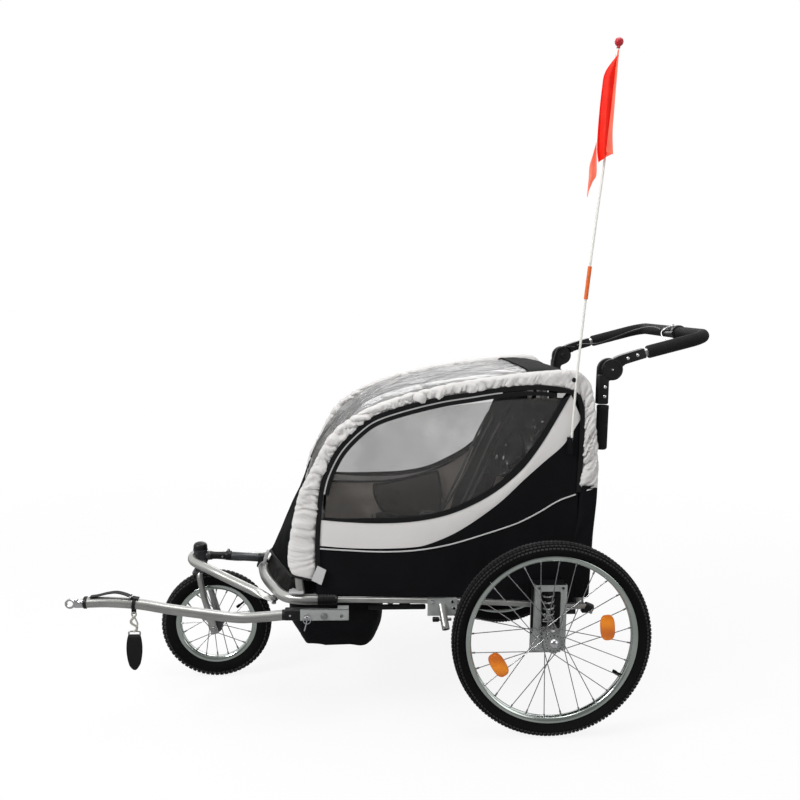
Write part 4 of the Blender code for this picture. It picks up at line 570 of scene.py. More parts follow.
def fixed(item):
    """Puts an object's place, turn and size into its mesh."""
    pick(item)
    bpy.ops.object.transform_apply(location=True, rotation=True, scale=True)
    return item


def modified(item, kind, **settings):
    """Adds one modifier and applies it."""
    pick(item)
    step = item.modifiers.new("step", kind)
    for name, value in settings.items():
        setattr(step, name, value)
    bpy.ops.object.modifier_apply(modifier=step.name)
    return item


def outward(item):
    """Merges doubles and turns every face outwards."""
    pick(item)
    bpy.ops.object.mode_set(mode="EDIT")
    bpy.ops.mesh.select_all(action="SELECT")
    bpy.ops.mesh.remove_doubles(threshold=1e-6)
    bpy.ops.mesh.normals_make_consistent(inside=False)
    bpy.ops.object.mode_set(mode="OBJECT")
    return item


def smooth(item, angle=40):
    pick(item)
    bpy.ops.object.shade_smooth_by_angle(angle=math.radians(angle))
    return item


def settle(item, name, finish, *nodes, body="chassis", slot=None):
    """Names a finished piece, gives it its finish and lets it ride on its body.

    Its slot, that of the node it replaces unless another is given, is looked up but not used."""
    fixed(item)
    item.name = item.data.name = name
    item.data.materials.clear()
    item.data.materials.append(finish)
    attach(item, body)
    if nodes:
        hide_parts(*nodes)
        slot = slot or SLOT_OF[nodes[0]]
    clear()
    return item


def joined(*items):
    pick(*items)
    bpy.ops.object.join()
    return bpy.context.object


def copied(item):
    """A second piece with its own mesh."""
    pick(item)
    bpy.ops.object.duplicate(linked=False)
    return bpy.context.object


def mirrored(item):
    """A copy on the right side of the trailer, faces out again."""
    twin = copied(item)
    twin.scale.y = -1
    fixed(twin)
    return outward(twin)


def curve_through(points, per=6):
    """Points of a smooth line through the given ones."""
    points = [Vector(p) for p in points]
    line = []
    for k in range(len(points) - 1):
        before = points[max(k - 1, 0)]
        start, end = points[k], points[k + 1]
        after = points[min(k + 2, len(points) - 1)]
        for j in range(per):
            t = j / per
            line.append(0.5 * (
                2 * start + (end - before) * t + (2 * before - 5 * start + 4 * end - after) * t * t
                + (3 * start - before - 3 * end + after) * t ** 3
            ))
    return line + [points[-1]]


def tube(points, radius, sides=4, closed=False, radii=None):
    """A round bar along a line: a path curve with a round bevel, made a mesh."""
    clear()
    bpy.ops.curve.primitive_nurbs_path_add()
    path = bpy.context.object
    curve = path.data
    curve.splines.clear()
    run = curve.splines.new("POLY")
    run.points.add(len(points) - 1)
    for k, (point, at) in enumerate(zip(run.points, points)):
        point.co = (*at, 1)
        point.radius = radii[k] if radii else 1.0
    run.use_cyclic_u = closed
    curve.bevel_depth = radius
    curve.bevel_resolution = sides
    curve.use_fill_caps = True
    curve.twist_mode = "MINIMUM"
    path.location = (0, 0, 0)
    pick(path)
    bpy.ops.object.convert(target="MESH")
    return outward(bpy.context.object)


def bar(start, end, radius, sides=24, edge=0.0):
    """A cylinder from one point to another with its rims bevelled."""
    start, end = Vector(start), Vector(end)
    clear()
    bpy.ops.mesh.primitive_cylinder_add(
        vertices=sides, radius=radius, depth=(end - start).length, location=(start + end) / 2,
        rotation=(end - start).to_track_quat("Z", "Y").to_euler(),
    )
    made = fixed(bpy.context.object)
    return bevelled(made, edge) if edge else made


def bevelled(item, width, steps=2, angle=40):
    return modified(
        item, "BEVEL", width=width, segments=steps, limit_method="ANGLE",
        angle_limit=math.radians(angle), use_clamp_overlap=True,
    )


def cut(item, tool):
    """Takes a tool's shape out of an item."""
    made = modified(item, "BOOLEAN", operation="DIFFERENCE", object=tool, solver="EXACT")
    pick(tool)
    bpy.ops.object.delete()
    return made


def block(low, high, edge=0.0, steps=2):
    """A box between two corners with its edges bevelled."""
    low, high = Vector(low), Vector(high)
    clear()
    bpy.ops.mesh.primitive_cube_add(size=1, location=(low + high) / 2)
    made = bpy.context.object
    made.scale = high - low
    fixed(made)
    return bevelled(made, edge, steps) if edge else made


def rod(start, end, *size):
    """A bar between two places measured from the axle."""
    return bar(place(*start), place(*end), *size)


def plate(low, high, *size):
    """A block between two places measured from the axle."""
    return block(place(*low), place(*high), *size)


def slab(outline, near, far, edge=0.0, steps=2):
    """A flat piece between two depths: its outline in x and z is filled and extruded."""
    clear()
    bpy.ops.mesh.primitive_circle_add(vertices=len(outline), radius=1, fill_type="NGON")
    made = bpy.context.object
    for vertex, (x, z) in zip(made.data.vertices, outline):
        vertex.co = (x, near, z)
    bpy.ops.object.mode_set(mode="EDIT")
    bpy.ops.mesh.select_all(action="SELECT")
    bpy.ops.mesh.extrude_region_move(TRANSFORM_OT_translate={"value": (0, far - near, 0)})
    bpy.ops.object.mode_set(mode="OBJECT")
    outward(made)
    return bevelled(made, edge, steps, 25) if edge else made


def turned(profile, centre, axis, steps=48):
    """A turned shape: the profile is extruded point by point, then spun round the axis.

    A profile point is (radius, distance along the axis)."""
    clear()
    bpy.ops.mesh.primitive_plane_add(size=0.001)
    made = bpy.context.object
    bpy.ops.object.mode_set(mode="EDIT")
    bpy.ops.mesh.select_all(action="SELECT")
    bpy.ops.mesh.merge(type="CENTER")
    r, d = profile[0]
    bpy.ops.transform.translate(value=(r, 0, d))
    for (r0, d0), (r1, d1) in zip(profile, profile[1:]):
        bpy.ops.mesh.extrude_region_move(TRANSFORM_OT_translate={"value": (r1 - r0, 0, d1 - d0)})
    bpy.ops.mesh.select_all(action="SELECT")
    bpy.ops.mesh.spin(steps=steps, angle=2 * math.pi, center=(0, 0, 0), axis=(0, 0, 1))
    bpy.ops.mesh.select_all(action="SELECT")
    bpy.ops.mesh.remove_doubles(threshold=1e-6)
    bpy.ops.object.mode_set(mode="OBJECT")
    made.rotation_euler = Vector(axis).to_track_quat("Z", "Y").to_euler()
    made.location = centre
    return outward(fixed(made))


def grid_of(columns, rows, rule):
    """A grid whose points are placed by a rule of (u, v), both from 0 to 1."""
    clear()
    bpy.ops.mesh.primitive_grid_add(x_subdivisions=columns, y_subdivisions=rows, size=2)
    made = bpy.context.object
    for vertex in made.data.vertices:
        u, v = (vertex.co.x + 1) / 2, (vertex.co.y + 1) / 2
        vertex.co = rule(u, v)
    made.location = (0, 0, 0)
    made.data.update()
    return made


def cloth(columns, rows, rule, thick, angle=50, offset=0):
    """A sheet placed by a rule and given a thickness, outwards or to both sides."""
    made = grid_of(columns, rows, rule)
    if offset:
        outward(made)
    modified(made, "SOLIDIFY", thickness=thick, offset=offset)
    return smooth(outward(made), angle)


def rise(share):
    """From 0 at one end of a span over 1 in its middle to 0 at the other end."""
    return math.sin(math.pi * share)


def squared(value, power):
    """A sine or cosine bent towards its ends, which makes a circle squarer."""
    return math.copysign(abs(value) ** power, value)


def even_turns(count, start=0.0):
    """Angles all the way round."""
    return [2 * math.pi * (k + start) / count for k in range(count)]


def along(line, share):
    """The point at a share of a line's length."""
    steps = [(b - a).length for a, b in zip(line, line[1:])]
    goal = share * sum(steps)
    for a, b, step in zip(line, line[1:], steps):
        if goal <= step:
            return a.lerp(b, goal / step if step else 0)
        goal -= step
    return line[-1].copy()


print("modelling helpers ready")

# %% [markdown]
# The cabin's side is a flat curtain sewn from several cloths: a clear window edged with black tape,
# an off-white swoosh under it, a thin grey cord, and a black skirt. Each is a grid stretched
# between two edge lines, as a pattern cutter draws a panel between two seams. The edge lines are
# places on the real trailer, x behind the axle and z above the ground.

# %% Seam lines of the side
FILM_LOW = (
    (-0.563, 0.537), (-0.516, 0.534), (-0.432, 0.535), (-0.341, 0.539), (-0.263, 0.553),
    (-0.195, 0.582), (-0.133, 0.619), (-0.078, 0.671), (-0.034, 0.728), (0.004, 0.79),
    (0.03, 0.838),
)
FILM_HIGH = (
    (-0.565, 0.55), (-0.556, 0.591), (-0.541, 0.637), (-0.522, 0.679), (-0.497, 0.716),
    (-0.461, 0.752), (-0.422, 0.775), (-0.356, 0.798), (-0.273, 0.816), (-0.195, 0.826),
    (-0.116, 0.834), (-0.021, 0.84), (0.032, 0.842),
)
SWOOSH_HIGH = (
    (-0.578, 0.531), (-0.516, 0.525), (-0.431, 0.521), (-0.341, 0.525), (-0.257, 0.541),
    (-0.183, 0.571), (-0.122, 0.609), (-0.066, 0.659), (-0.023, 0.717), (0.015, 0.782),
    (0.052, 0.85),
)
SWOOSH_LOW = (
    (-0.58, 0.464), (-0.516, 0.458), (-0.431, 0.455), (-0.34, 0.458), (-0.295, 0.468),
    (-0.233, 0.495), (-0.171, 0.535), (-0.115, 0.579), (-0.06, 0.633), (-0.01, 0.679),
    (0.04, 0.725), (0.08, 0.79),
)
CORD_LINE = (
    (-0.576, 0.456), (-0.504, 0.451), (-0.42, 0.447), (-0.335, 0.45), (-0.25, 0.464),
    (-0.165, 0.489), (-0.079, 0.518), (-0.023, 0.546), (0.028, 0.577), (0.073, 0.594),
)
SKIRT_LOW = ((-0.585, 0.336), (-0.4, 0.33), (-0.217, 0.325), (-0.06, 0.317), (0.078, 0.309))
SLEEVE_OUT = (
    (-0.646, 0.389), (-0.656, 0.412), (-0.657, 0.44), (-0.654, 0.47), (-0.631, 0.587),
    (-0.609, 0.636), (-0.577, 0.702), (-0.545, 0.751), (-0.513, 0.777), (-0.47, 0.805),
    (-0.406, 0.831), (-0.331, 0.855), (-0.213, 0.882), (-0.11, 0.897), (-0.039, 0.906),
    (0.048, 0.911), (0.081, 0.9), (0.104, 0.873), (0.114, 0.835), (0.122, 0.769), (0.13, 0.691),
    (0.132, 0.613),
)
SLEEVE_IN = (
    (-0.584, 0.374), (-0.584, 0.4), (-0.584, 0.43), (-0.584, 0.477), (-0.58, 0.546),
    (-0.575, 0.598), (-0.566, 0.637), (-0.547, 0.682), (-0.522, 0.721), (-0.483, 0.761),
    (-0.439, 0.792), (-0.367, 0.817), (-0.279, 0.839), (-0.201, 0.852), (-0.123, 0.864),
    (-0.039, 0.87), (0.03, 0.864), (0.066, 0.852), (0.08, 0.83), (0.086, 0.79), (0.086, 0.7),
    (0.083, 0.6),
)
ARCH_SIDE = 0.27
PANEL_SIDE = 0.2815


def drawn(points, side=PANEL_SIDE, per=8):
    """A smooth seam line on the left side."""
    return curve_through([place(x, -side, z) for x, z in points], per)


def panel_between(low, high, columns, rows, billow=0.0, thick=0.0012, folds=0.0):
    """A cloth panel between two seam lines, given a thickness."""
    def rule(u, v):
        point = along(low, u).lerp(along(high, u), v)
        inside = 0 < u < 1 and 0 < v < 1
        free = (rise(u) * rise(v)) ** 0.7 if inside else 0
        upright = noise.noise(Vector((point.x * 30, 2.0, point.z * 4))) * (1 - v) * u
        point.y -= (billow + folds * upright) * free
        return point
    return cloth(columns, rows, rule, thick)


def both(item, name, finish, *nodes, body="chassis", slot=None):
    """Settles a left piece and its mirrored twin."""
    twin = mirrored(item)
    made = []
    for piece, side in ((item, "left"), (twin, "right")):
        stands_for = [f"{node}_{side}" for node in nodes]
        rides_on = body.replace("left", side)
        made.append(settle(piece, f"{name}_{side}", finish, *stands_for, body=rides_on, slot=slot))
    return made


# %% [markdown]
# The skirt, the swoosh and the window share their seams, so they are built from the same lines.
# The cloth isn't tight: each panel bellies out by a few millimetres between its seams.

# %% Skirt, swoosh and window
skirts = both(
    panel_between(
        drawn(SKIRT_LOW, 0.2805), drawn(SWOOSH_LOW, 0.2805), 130, 32, 0.0015, 0.0014, 0.01,
    ),
    "skirt", black_cloth, "side_cover", slot="black_cloth",
)
both(
    panel_between(drawn(SWOOSH_LOW), drawn(SWOOSH_HIGH), 90, 10, 0.002),
    "swoosh", grey_cloth, slot="grey_cloth",
)
both(
    panel_between(drawn(FILM_LOW, 0.281), drawn(FILM_HIGH, 0.281), 90, 40, 0.003, 0.0005),
    "window_film", side_film, slot="clear_film",
)
both(
    panel_between(drawn(FILM_LOW, 0.2825), drawn(SWOOSH_HIGH, 0.2825), 90, 4, 0.0004, 0.002),
    "window_tape", binding_tape, slot="black_cloth",
)
both(tube(drawn(CORD_LINE, 0.2825), 0.0019, 3), "side_cord", piping_tape, slot="grey_cloth")
print("side panels", len(skirts[0].data.polygons), "faces in a skirt")

# %% [markdown]
# Along the sleeve the curtain has a zip: black tape, a narrow strip of bare zip that looks grey,
# and black tape again down to the window. The strips are offset inwards from the sleeve's own
# seam.


# %% Zip along the sleeve
def offset(points, inward, start=0, stop=None):
    """The sleeve's seam moved towards the middle of the window."""
    line = [Vector((x, z)) for x, z in points][start:stop]
    moved = []
    for k, point in enumerate(line):
        run = line[min(k + 1, len(line) - 1)] - line[max(k - 1, 0)]
        side = Vector((run.y, -run.x)).normalized()
        moved.append(tuple(point + side * inward))
    return moved


bands = []
for name, first, second, side, finish, *part in (
    ("zip_outer_tape", -0.003, 0.009, 0.2835, binding_tape),
    ("zip_strip", 0.0088, 0.0132, 0.2828, piping_tape, 5, 15),
    ("zip_inner_tape", 0.0126, 0.023, 0.2832, binding_tape, 5, 17),
):
    low = drawn(offset(SLEEVE_IN, second, *part), side)
    high = drawn(offset(SLEEVE_IN, first, *part), side)
    bands += both(panel_between(low, high, 130, 3, 0.0003, 0.0018), name, finish)
print("zip bands", len(bands))

# %% [markdown]
# The sleeve is a tube of off-white cloth pulled over the steel arch. It is cut longer than the
# arch, so it gathers: along the front curve it stands in close ripples that run across it. A grid
# is wrapped round the arch, and its points are pushed out in rounded puffs with narrow creases
# between them. Slow noise makes the puffs uneven and lets them fade where the cloth is tight.

# %% Gathered sleeve over the arch
def puffs(distance, wide, spread):
    """Rounded puffs with narrow creases between them: broad uneven ones, and small ones on those.

    wide is 1 at the outer seam and -1 at the inner one, where the creases start."""
    slant = 0.55 * wide + 1.1 * noise.noise(Vector((distance * 9, wide * 0.8, 3.0)))
    at_broad = Vector((distance * 0.62 / spread + slant, wide * 0.45, 0.7))
    at_small = Vector((distance * 1.5 / spread - slant, wide * 0.9, 9.0))
    broad = abs(noise.noise(at_broad) * 2.2) ** 0.55
    small = abs(noise.noise(at_small) * 2.2) ** 0.6
    return broad + 0.3 * small


def fullness(share):
    """How strongly the sleeve is gathered at a share of its length."""
    stops = ((0, 0.3), (0.05, 0.75), (0.14, 1.0), (0.5, 1.0), (0.62, 0.6), (0.72, 0.4),
             (0.78, 0.6), (0.86, 1.0), (0.96, 1.2), (1.0, 0.7))
    for (a, first), (b, second) in zip(stops, stops[1:]):
        if share <= b:
            return first + (second - first) * (share - a) / (b - a)
    return stops[-1][1]


def sleeve_tube(out_line, in_line, columns, around, spread, depth):
    """A flattened cloth tube between an outer and an inner line, gathered along its length."""
    outer, inner = drawn(out_line, ARCH_SIDE), drawn(in_line, ARCH_SIDE)
    length = sum((b - a).length for a, b in zip(outer, outer[1:]))

    def rule(u, v):
        top, low = along(outer, u), along(inner, u)
        middle, half = (top + low) / 2, (top - low) / 2
        turn = 2 * math.pi * v
        wide, high = math.cos(turn), math.sin(turn)
        point = middle + half * squared(wide, 0.75)
        swell = squared(high, 0.75)
        gather = puffs(u * length, wide, spread) - 0.85
        gather = depth * fullness(u) * gather * (0.75 - 0.3 * wide)
        drape = 0.0012 * noise.noise(Vector((u * length * 16, wide * 1.2, high)))
        point.y -= swell * (0.0168 + gather + drape)
        point += half.normalized() * math.copysign(1, wide) * gather * 0.5 * abs(wide)
        return point

    return cloth(columns, around, rule, 0.001, 60, -1)


sleeves = both(
    sleeve_tube(SLEEVE_OUT, SLEEVE_IN, 620, 34, 0.0135, 0.014),
    "arch_sleeve", grey_cloth, slot="grey_cloth",
)
print("sleeve", len(sleeves[0].data.polygons), "faces")

# %% [markdown]
# Below the hem the rear sleeve goes on in black. A double row of stitching marks the join, and the
# lower cloth is slack, so it sags in diagonal folds.

# %% Black rear sleeve, hem and front foot
REAR_OUT = (
    (0.131, 0.616), (0.13, 0.57), (0.125, 0.51), (0.123, 0.454), (0.121, 0.39), (0.119, 0.322),
)
REAR_IN = (
    (0.083, 0.616), (0.081, 0.57), (0.074, 0.51), (0.069, 0.46), (0.07, 0.39), (0.073, 0.322),
)


def slack(distance, wide):
    return 0.008 * noise.noise(Vector((distance * 15 + wide * 1.1, wide * 0.8, 8.0)))


def lower_sleeve():
    outer, inner = drawn(REAR_OUT, ARCH_SIDE), drawn(REAR_IN, ARCH_SIDE)

    def rule(u, v):
        top, low = along(outer, u), along(inner, u)
        middle, half = (top + low) / 2, (top - low) / 2
        wide, high = math.cos(2 * math.pi * v), math.sin(2 * math.pi * v)
        tight = 1 - 0.6 * max(0, (u - 0.75) / 0.25)
        point = middle + half * squared(wide, 0.75)
        swell = squared(high, 0.75)
        reach = 0.016 if high > 0 else 0.015
        point.y -= swell * min(reach + slack(u * 0.29, wide) * tight, 0.0125 if u > 0.72 else 0.021)
        return point

    return cloth(90, 26, rule, 0.001, 60, -1)


both(lower_sleeve(), "rear_sleeve", black_cloth, slot="black_cloth")
hems = []
for x0, x1, z in ((0.081, 0.1285, 0.6165), (0.081, 0.1285, 0.611)):
    ring = [
        (0, 1), (0.7, 0.72), (1, 0), (0.7, -0.72), (0, -1), (-0.7, -0.72), (-1, 0), (-0.7, 0.72),
    ]
    middle, half = (x0 + x1) / 2, (x1 - x0) / 2
    loop = [place(middle + half * a, -ARCH_SIDE - 0.0185 * b, z) for a, b in ring]
    hems.append(tube(curve_through(loop + loop[:1], 4)[:-1], 0.0011, 2, closed=True))
both(joined(*hems), "sleeve_hem", binding_tape)
foot_top, foot_end = (place(x, -ARCH_SIDE, z) for x, z in (SLEEVE_OUT[0], SLEEVE_IN[0]))
foot_ring = []
for k in range(40):
    turn = 2 * math.pi * k / 40
    wide, high = math.cos(turn), math.sin(turn)
    spot = foot_end.lerp(foot_top, 0.5 + 0.5 * squared(wide, 0.75))
    spot.y -= squared(high, 0.75) * 0.0172
    spot.z -= 0.002
    foot_ring.append(spot)
both(tube(foot_ring, 0.0034, 3, closed=True), "sleeve_foot_hem", binding_tape)
tab = slab(
    [(-0.581, 0.414), (-0.559, 0.403), (-0.571, 0.364), (-0.596, 0.377)], -0.293, -0.2885, 0.0006,
)
tab.location.x = AXLE_X
both(fixed(tab), "sleeve_tab", piping_tape)
print("rear sleeves ready")

# %% [markdown]
# The front is closed by a black apron. It hangs from the roof's front edge, leans forward to the
# bow and is pinned round it, so its middle bulges out past its sides. One grid, from the bow up to
# the roof, takes its middle line and its side line from two lists and blends between them.

# %% Front apron
APRON_MIDDLE = (
    (-0.725, 0.366), (-0.714, 0.388), (-0.694, 0.43), (-0.668, 0.485), (-0.647, 0.529),
    (-0.627, 0.588),
)
APRON_SIDE = (
    (-0.6445, 0.371), (-0.654, 0.404), (-0.655, 0.44), (-0.65, 0.48), (-0.64, 0.53),
    (-0.621, 0.588),
)
APRON_HALF = 0.2515


def upright_line(points):
    """Points of (x, z) in the middle plane."""
    return [Vector((x, 0, z)) for x, z in points]


def crumple(point, size, depth, seed=0.0):
    return depth * noise.noise(Vector((point.x * size, point.y * size, point.z * size + seed)))


def apron_point(u, v):
    share = abs(2 * u - 1)
    middle = along(upright_line(APRON_MIDDLE), v)
    edge = along(upright_line(APRON_SIDE), v)
    mixed = middle.lerp(edge, share ** (1 + 2 * min(2.2 * v, 1)))
    point = place(mixed.x, (2 * u - 1) * APRON_HALF, mixed.z)
    point.x += crumple(point, 13, 0.006, 2.0) * (1 - share ** 6) * rise(min(v * 1.1, 1))
    return point


apron = cloth(110, 60, apron_point, 0.0014)
settle(apron, "front_apron", black_cloth_shaded, "floor_tub")
hem_line = [apron_point(k / 80, 0.0) + Vector((-0.001, 0, 0)) for k in range(81)]
apron_hem = tube(hem_line, 0.0042, 3)
settle(apron_hem, "apron_hem", binding_tape)

WELL_BOW = ((0.0, -0.744), (0.09, -0.731), (0.18, -0.7), (0.249, -0.667), (0.2705, -0.63))


def well_point(u, v):
    """The well's front wall: from the bag's rim forward to the bow, then up behind the hem."""
    hem = apron_point(u, 0.0) + Vector((0.006, 0, 0.002))
    hem.y = (2 * u - 1) * 0.27
    for (y0, x0), (y1, x1) in zip(WELL_BOW, WELL_BOW[1:]):
        if abs(hem.y) <= y1:
            bow_x = x0 + (x1 - x0) * (abs(hem.y) - y0) / (y1 - y0)
            break
    rim = place(-0.65, hem.y * 0.97, 0.3265)
    front = place(bow_x + 0.008, hem.y, 0.324)
    point = rim.lerp(front, v / 0.5) if v < 0.5 else front.lerp(hem, (v - 0.5) / 0.5)
    point.x += crumple(point, 20, 0.004, 6.0) * rise(v)
    point.z += crumple(point, 26, 0.004, 2.0) * rise(v)
    return point


well_front = cloth(90, 24, well_point, 0.0012, 60)
settle(well_front, "footwell_front", coated_cloth, slot="black_cloth")
loop_profile = [
    (0.0143, -0.011), (0.0162, -0.011), (0.0162, 0.011), (0.0143, 0.011), (0.0143, -0.011),
]
nose_loop = turned(loop_profile, place(-0.744, 0, 0.321), (0, 1, 0), 40)
nose_strap = slab(
    [(-0.75, 0.333), (-0.737, 0.366), (-0.729, 0.362), (-0.738, 0.333)], -0.012, 0.012, 0.0012,
)
nose_strap.location.x = AXLE_X
fixed(nose_strap)
settle(smooth(joined(nose_loop, nose_strap)), "nose_tab", piping_tape)
print("apron", len(apron.data.polygons), "faces")

# %% [markdown]
# The roof is clear film zipped between the arches, edged with black tape, and lies over the two
# crown tubes. It was folded when packed, so it keeps creases that catch the light. Behind the
# second tube it turns to black cloth, which goes on over the corner and down the back.

# %% Clear roof
ROOF_EDGE = (
    (-0.622, 0.588), (-0.6, 0.64), (-0.568, 0.684), (-0.52, 0.73), (-0.455, 0.776), (-0.363, 0.806),
    (-0.266, 0.829), (-0.183, 0.848), (-0.099, 0.86), (-0.04, 0.868),
)
ROOF_MIDDLE = (
    (-0.622, 0.59), (-0.603, 0.645), (-0.575, 0.702), (-0.531, 0.758), (-0.474, 0.805),
    (-0.41, 0.837), (-0.33, 0.861), (-0.22, 0.883), (-0.11, 0.899), (-0.04, 0.905),
)
SKIN_SIDE = 0.2515


def roof_point(u, v):
    """A point of the roof: u from front to back, v from left to right."""
    share = abs(2 * v - 1)
    middle = along(upright_line(ROOF_MIDDLE), u)
    edge = along(upright_line(ROOF_EDGE), u)
    mixed = middle.lerp(edge, share ** 9)
    point = place(mixed.x, (2 * v - 1) * SKIN_SIDE, mixed.z)
    sag = crumple(point, 11, 0.01, 4.0) + crumple(point, 34, 0.004, 9.0)
    point.z -= (0.002 + abs(sag)) * (1 - share ** 4) * min(1, 4 * u) * min(1, 4 * (1 - u)) * 0.5
    return point


roof = cloth(130, 90, roof_point, 0.0005)
settle(roof, "roof_film", roof_film, "roof_cover")
for side, name in ((0.0, "left"), (1.0, "right")):
    line = [roof_point(k / 100, side) for k in range(101)]
    for point in line:
        point.y *= 0.994
    tape = tube(line, 0.0036, 3)
    settle(tape, "roof_tape_" + name, binding_tape)
print("roof", len(roof.data.polygons), "faces")

# %% Black rear roof and back
REAR_LINE = (
    (-0.044, 0.907), (-0.005, 0.909), (0.031, 0.906), (0.062, 0.899), (0.086, 0.88), (0.106, 0.853),
    (0.119, 0.826), (0.1205, 0.76), (0.1215, 0.69), (0.1215, 0.6), (0.121, 0.5), (0.12, 0.4),
    (0.119, 0.312),
)


def back_point(u, v):
    share = abs(2 * v - 1)
    line = along(upright_line(REAR_LINE), u)
    point = place(line.x, (2 * v - 1) * 0.2535, line.z)
    slack_here = rise(u) * (1 - share ** 4)
    if u < 0.24:
        point.z -= 0.013 * share ** 8
        point.z += crumple(point, 12, 0.004, 1.0) * slack_here
    point.x += crumple(point, 9, 0.006, 6.0) * slack_here * (1 if u > 0.3 else 0)
    return point


back = cloth(120, 80, back_point, 0.0016)
settle(back, "back_cover", black_cloth_shaded, "back_panel")
seams = []
for share in (0.16, 0.84):
    seams.append([back_point(0.27 + 0.72 * k / 60, share) for k in range(61)])
seams.append([back_point(0.4, 0.16 + 0.68 * k / 40) for k in range(41)])
proud = Vector((0.0012, 0, 0))
seams = [tube([point + proud for point in seam], 0.0013, 2) for seam in seams]
settle(joined(*seams), "back_seams", binding_tape)
print("back", len(back.data.polygons), "faces")

# %% [markdown]
# The footwell is a soft bag that hangs below the floor. Its rim follows the frame, and its bottom
# sags and creases. The grid runs round the bag and down to the middle of its bottom.


# %% Footwell bag and floor
def bag_point(u, v):
    turn = 2 * math.pi * u
    c, s = math.cos(turn), math.sin(turn)
    cx, cy = squared(c, 0.28), squared(s, 0.28)
    down = min(v / 0.72, 1)
    middle = -0.5425 + 0.012 * down
    long, wide = 0.1245 - 0.031 * max(0, 2 * down - 1) ** 1.5, 0.249 - 0.006 * down ** 3
    z = 0.3265 - 0.141 * down + (0.006 * max(0, -c) * down ** 3)
    inward = 1.0 if v <= 0.72 else max(0.0, 1 - (v - 0.72) / 0.28)
    if v > 0.6:
        z -= 0.0055 * (1 - inward ** 2) + 0.001
    point = place(middle + long * cx * inward, wide * cy * inward, z)
    crease = crumple(point, 22, 0.008, 3.0) * rise(min(v * 1.25, 1))
    point.x += crease * c
    point.y += crease * s
    point.z = max(point.z + (crumple(point, 30, 0.006, 7.0) if v > 0.65 else 0) * inward, 0.181)
    return point


bag = cloth(150, 60, bag_point, 0.0012, 60, -1)
settle(bag, "footwell_bag", black_cloth, slot="black_cloth")


def floor_point(u, v):
    x = -0.421 + 0.541 * u
    z = 0.318 - 0.026 * max(0, (x + 0.217) / 0.33) - 0.0035
    point = place(x, (2 * v - 1) * 0.249, z)
    point.z += crumple(point, 10, 0.003, 5.0) * rise(u) * rise(v)
    return point


sheet = cloth(60, 40, floor_point, 0.0016)
settle(sheet, "floor_sheet", black_cloth_flat, slot="black_cloth")


def sling_point(u, v):
    """Slack cloth under the rear of the floor."""
    sag = rise(u) ** 0.8 * (0.75 + 0.25 * rise(v)) if 0 < u < 1 else 0
    point = place(-0.235 + 0.205 * u, (2 * v - 1) * 0.262, 0.301 - 0.0235 * sag)
    point.z += crumple(point, 16, 0.004, 8.0) * sag
    return point


sling = cloth(50, 50, sling_point, 0.0014)
settle(sling, "floor_sling", black_cloth_flat, slot="black_cloth")
edges = [plate((-0.452, -0.268, 0.288), (-0.304, -0.256, 0.3005), 0.0035, 3)]
edges.append(plate((-0.372, -0.2675, 0.296), (-0.344, -0.257, 0.3045), 0.003, 3))
both(smooth(joined(*edges)), "floor_edge", binding_tape)
print("bag and floor ready")

# %% [markdown]
# Inside, grey-brown lining hangs on both sides up to the window's edge, with a black edge tape and
# a net pocket for a bottle. It shows through the clear windows, so it gets real folds. It hangs a
# few millimetres inside the outer skirt, from a line just under the window.

# %% Side lining
LINING_LOW = ((-0.582, 0.345), (-0.42, 0.34), (-0.217, 0.335), (-0.06, 0.327), (0.076, 0.322))
LINING_HIGH = (
    (-0.574, 0.508), (-0.534, 0.506), (-0.422, 0.506), (-0.33, 0.516), (-0.235, 0.545),
    (-0.16, 0.584), (-0.1, 0.633), (-0.045, 0.694), (0.0, 0.755), (0.05, 0.842),
)


lining_low, lining_high = drawn(LINING_LOW, 0.2735), drawn(LINING_HIGH, 0.2775)


def lining_rule(u, v):
    point = along(lining_low, u).lerp(along(lining_high, u), v)
    loose = rise(min(v * 1.15, 1)) * rise(u) ** 0.5
    point.y += abs(crumple(Vector((point.x, 0, point.z * 0.55)), 17, 0.016, 2.0)) * loose
    return point


lining = cloth(110, 50, lining_rule, 0.001, 60)
both(lining, "side_lining", lining_cloth, slot="grey_cloth")
lining_edge = tube(drawn(LINING_HIGH, 0.2765), 0.003, 3)
both(lining_edge, "lining_edge", binding_tape)

# %% Net pocket
POCKET = (
    (-0.426, 0.502), (-0.424, 0.47), (-0.412, 0.44), (-0.392, 0.412), (-0.35, 0.4), (-0.315, 0.396),
    (-0.27, 0.4), (-0.232, 0.416), (-0.215, 0.446), (-0.214, 0.48), (-0.226, 0.545),
)
POCKET_TOP = ((-0.426, 0.502), (-0.38, 0.508), (-0.331, 0.52), (-0.28, 0.532), (-0.226, 0.545))
rim = drawn(POCKET, 0.253, 6)
mouth = drawn(POCKET_TOP, 0.252, 10)


def net_rule(u, v):
    low = along(rim, 0.06 + 0.88 * u)
    point = low.lerp(along(mouth, u), v)
    point.y += 0.017 * rise(u) * rise(0.25 + 0.6 * v) + crumple(point, 40, 0.005)
    return point


net = cloth(50, 26, net_rule, 0.0006, 60)
both(net, "bottle_net", pocket_net)
both(tube(rim, 0.0042, 3), "net_binding", binding_tape)
elastic = [net_rule(k / 40, 1.0) for k in range(41)]
both(tube(elastic, 0.0032, 3), "net_elastic", binding_tape)

# %% [markdown]
# Behind the rear of the window hangs a dark, shiny, crumpled sheet: the rolled end of the inner
# cover. Its tall white glints are painted highlights in its colour.

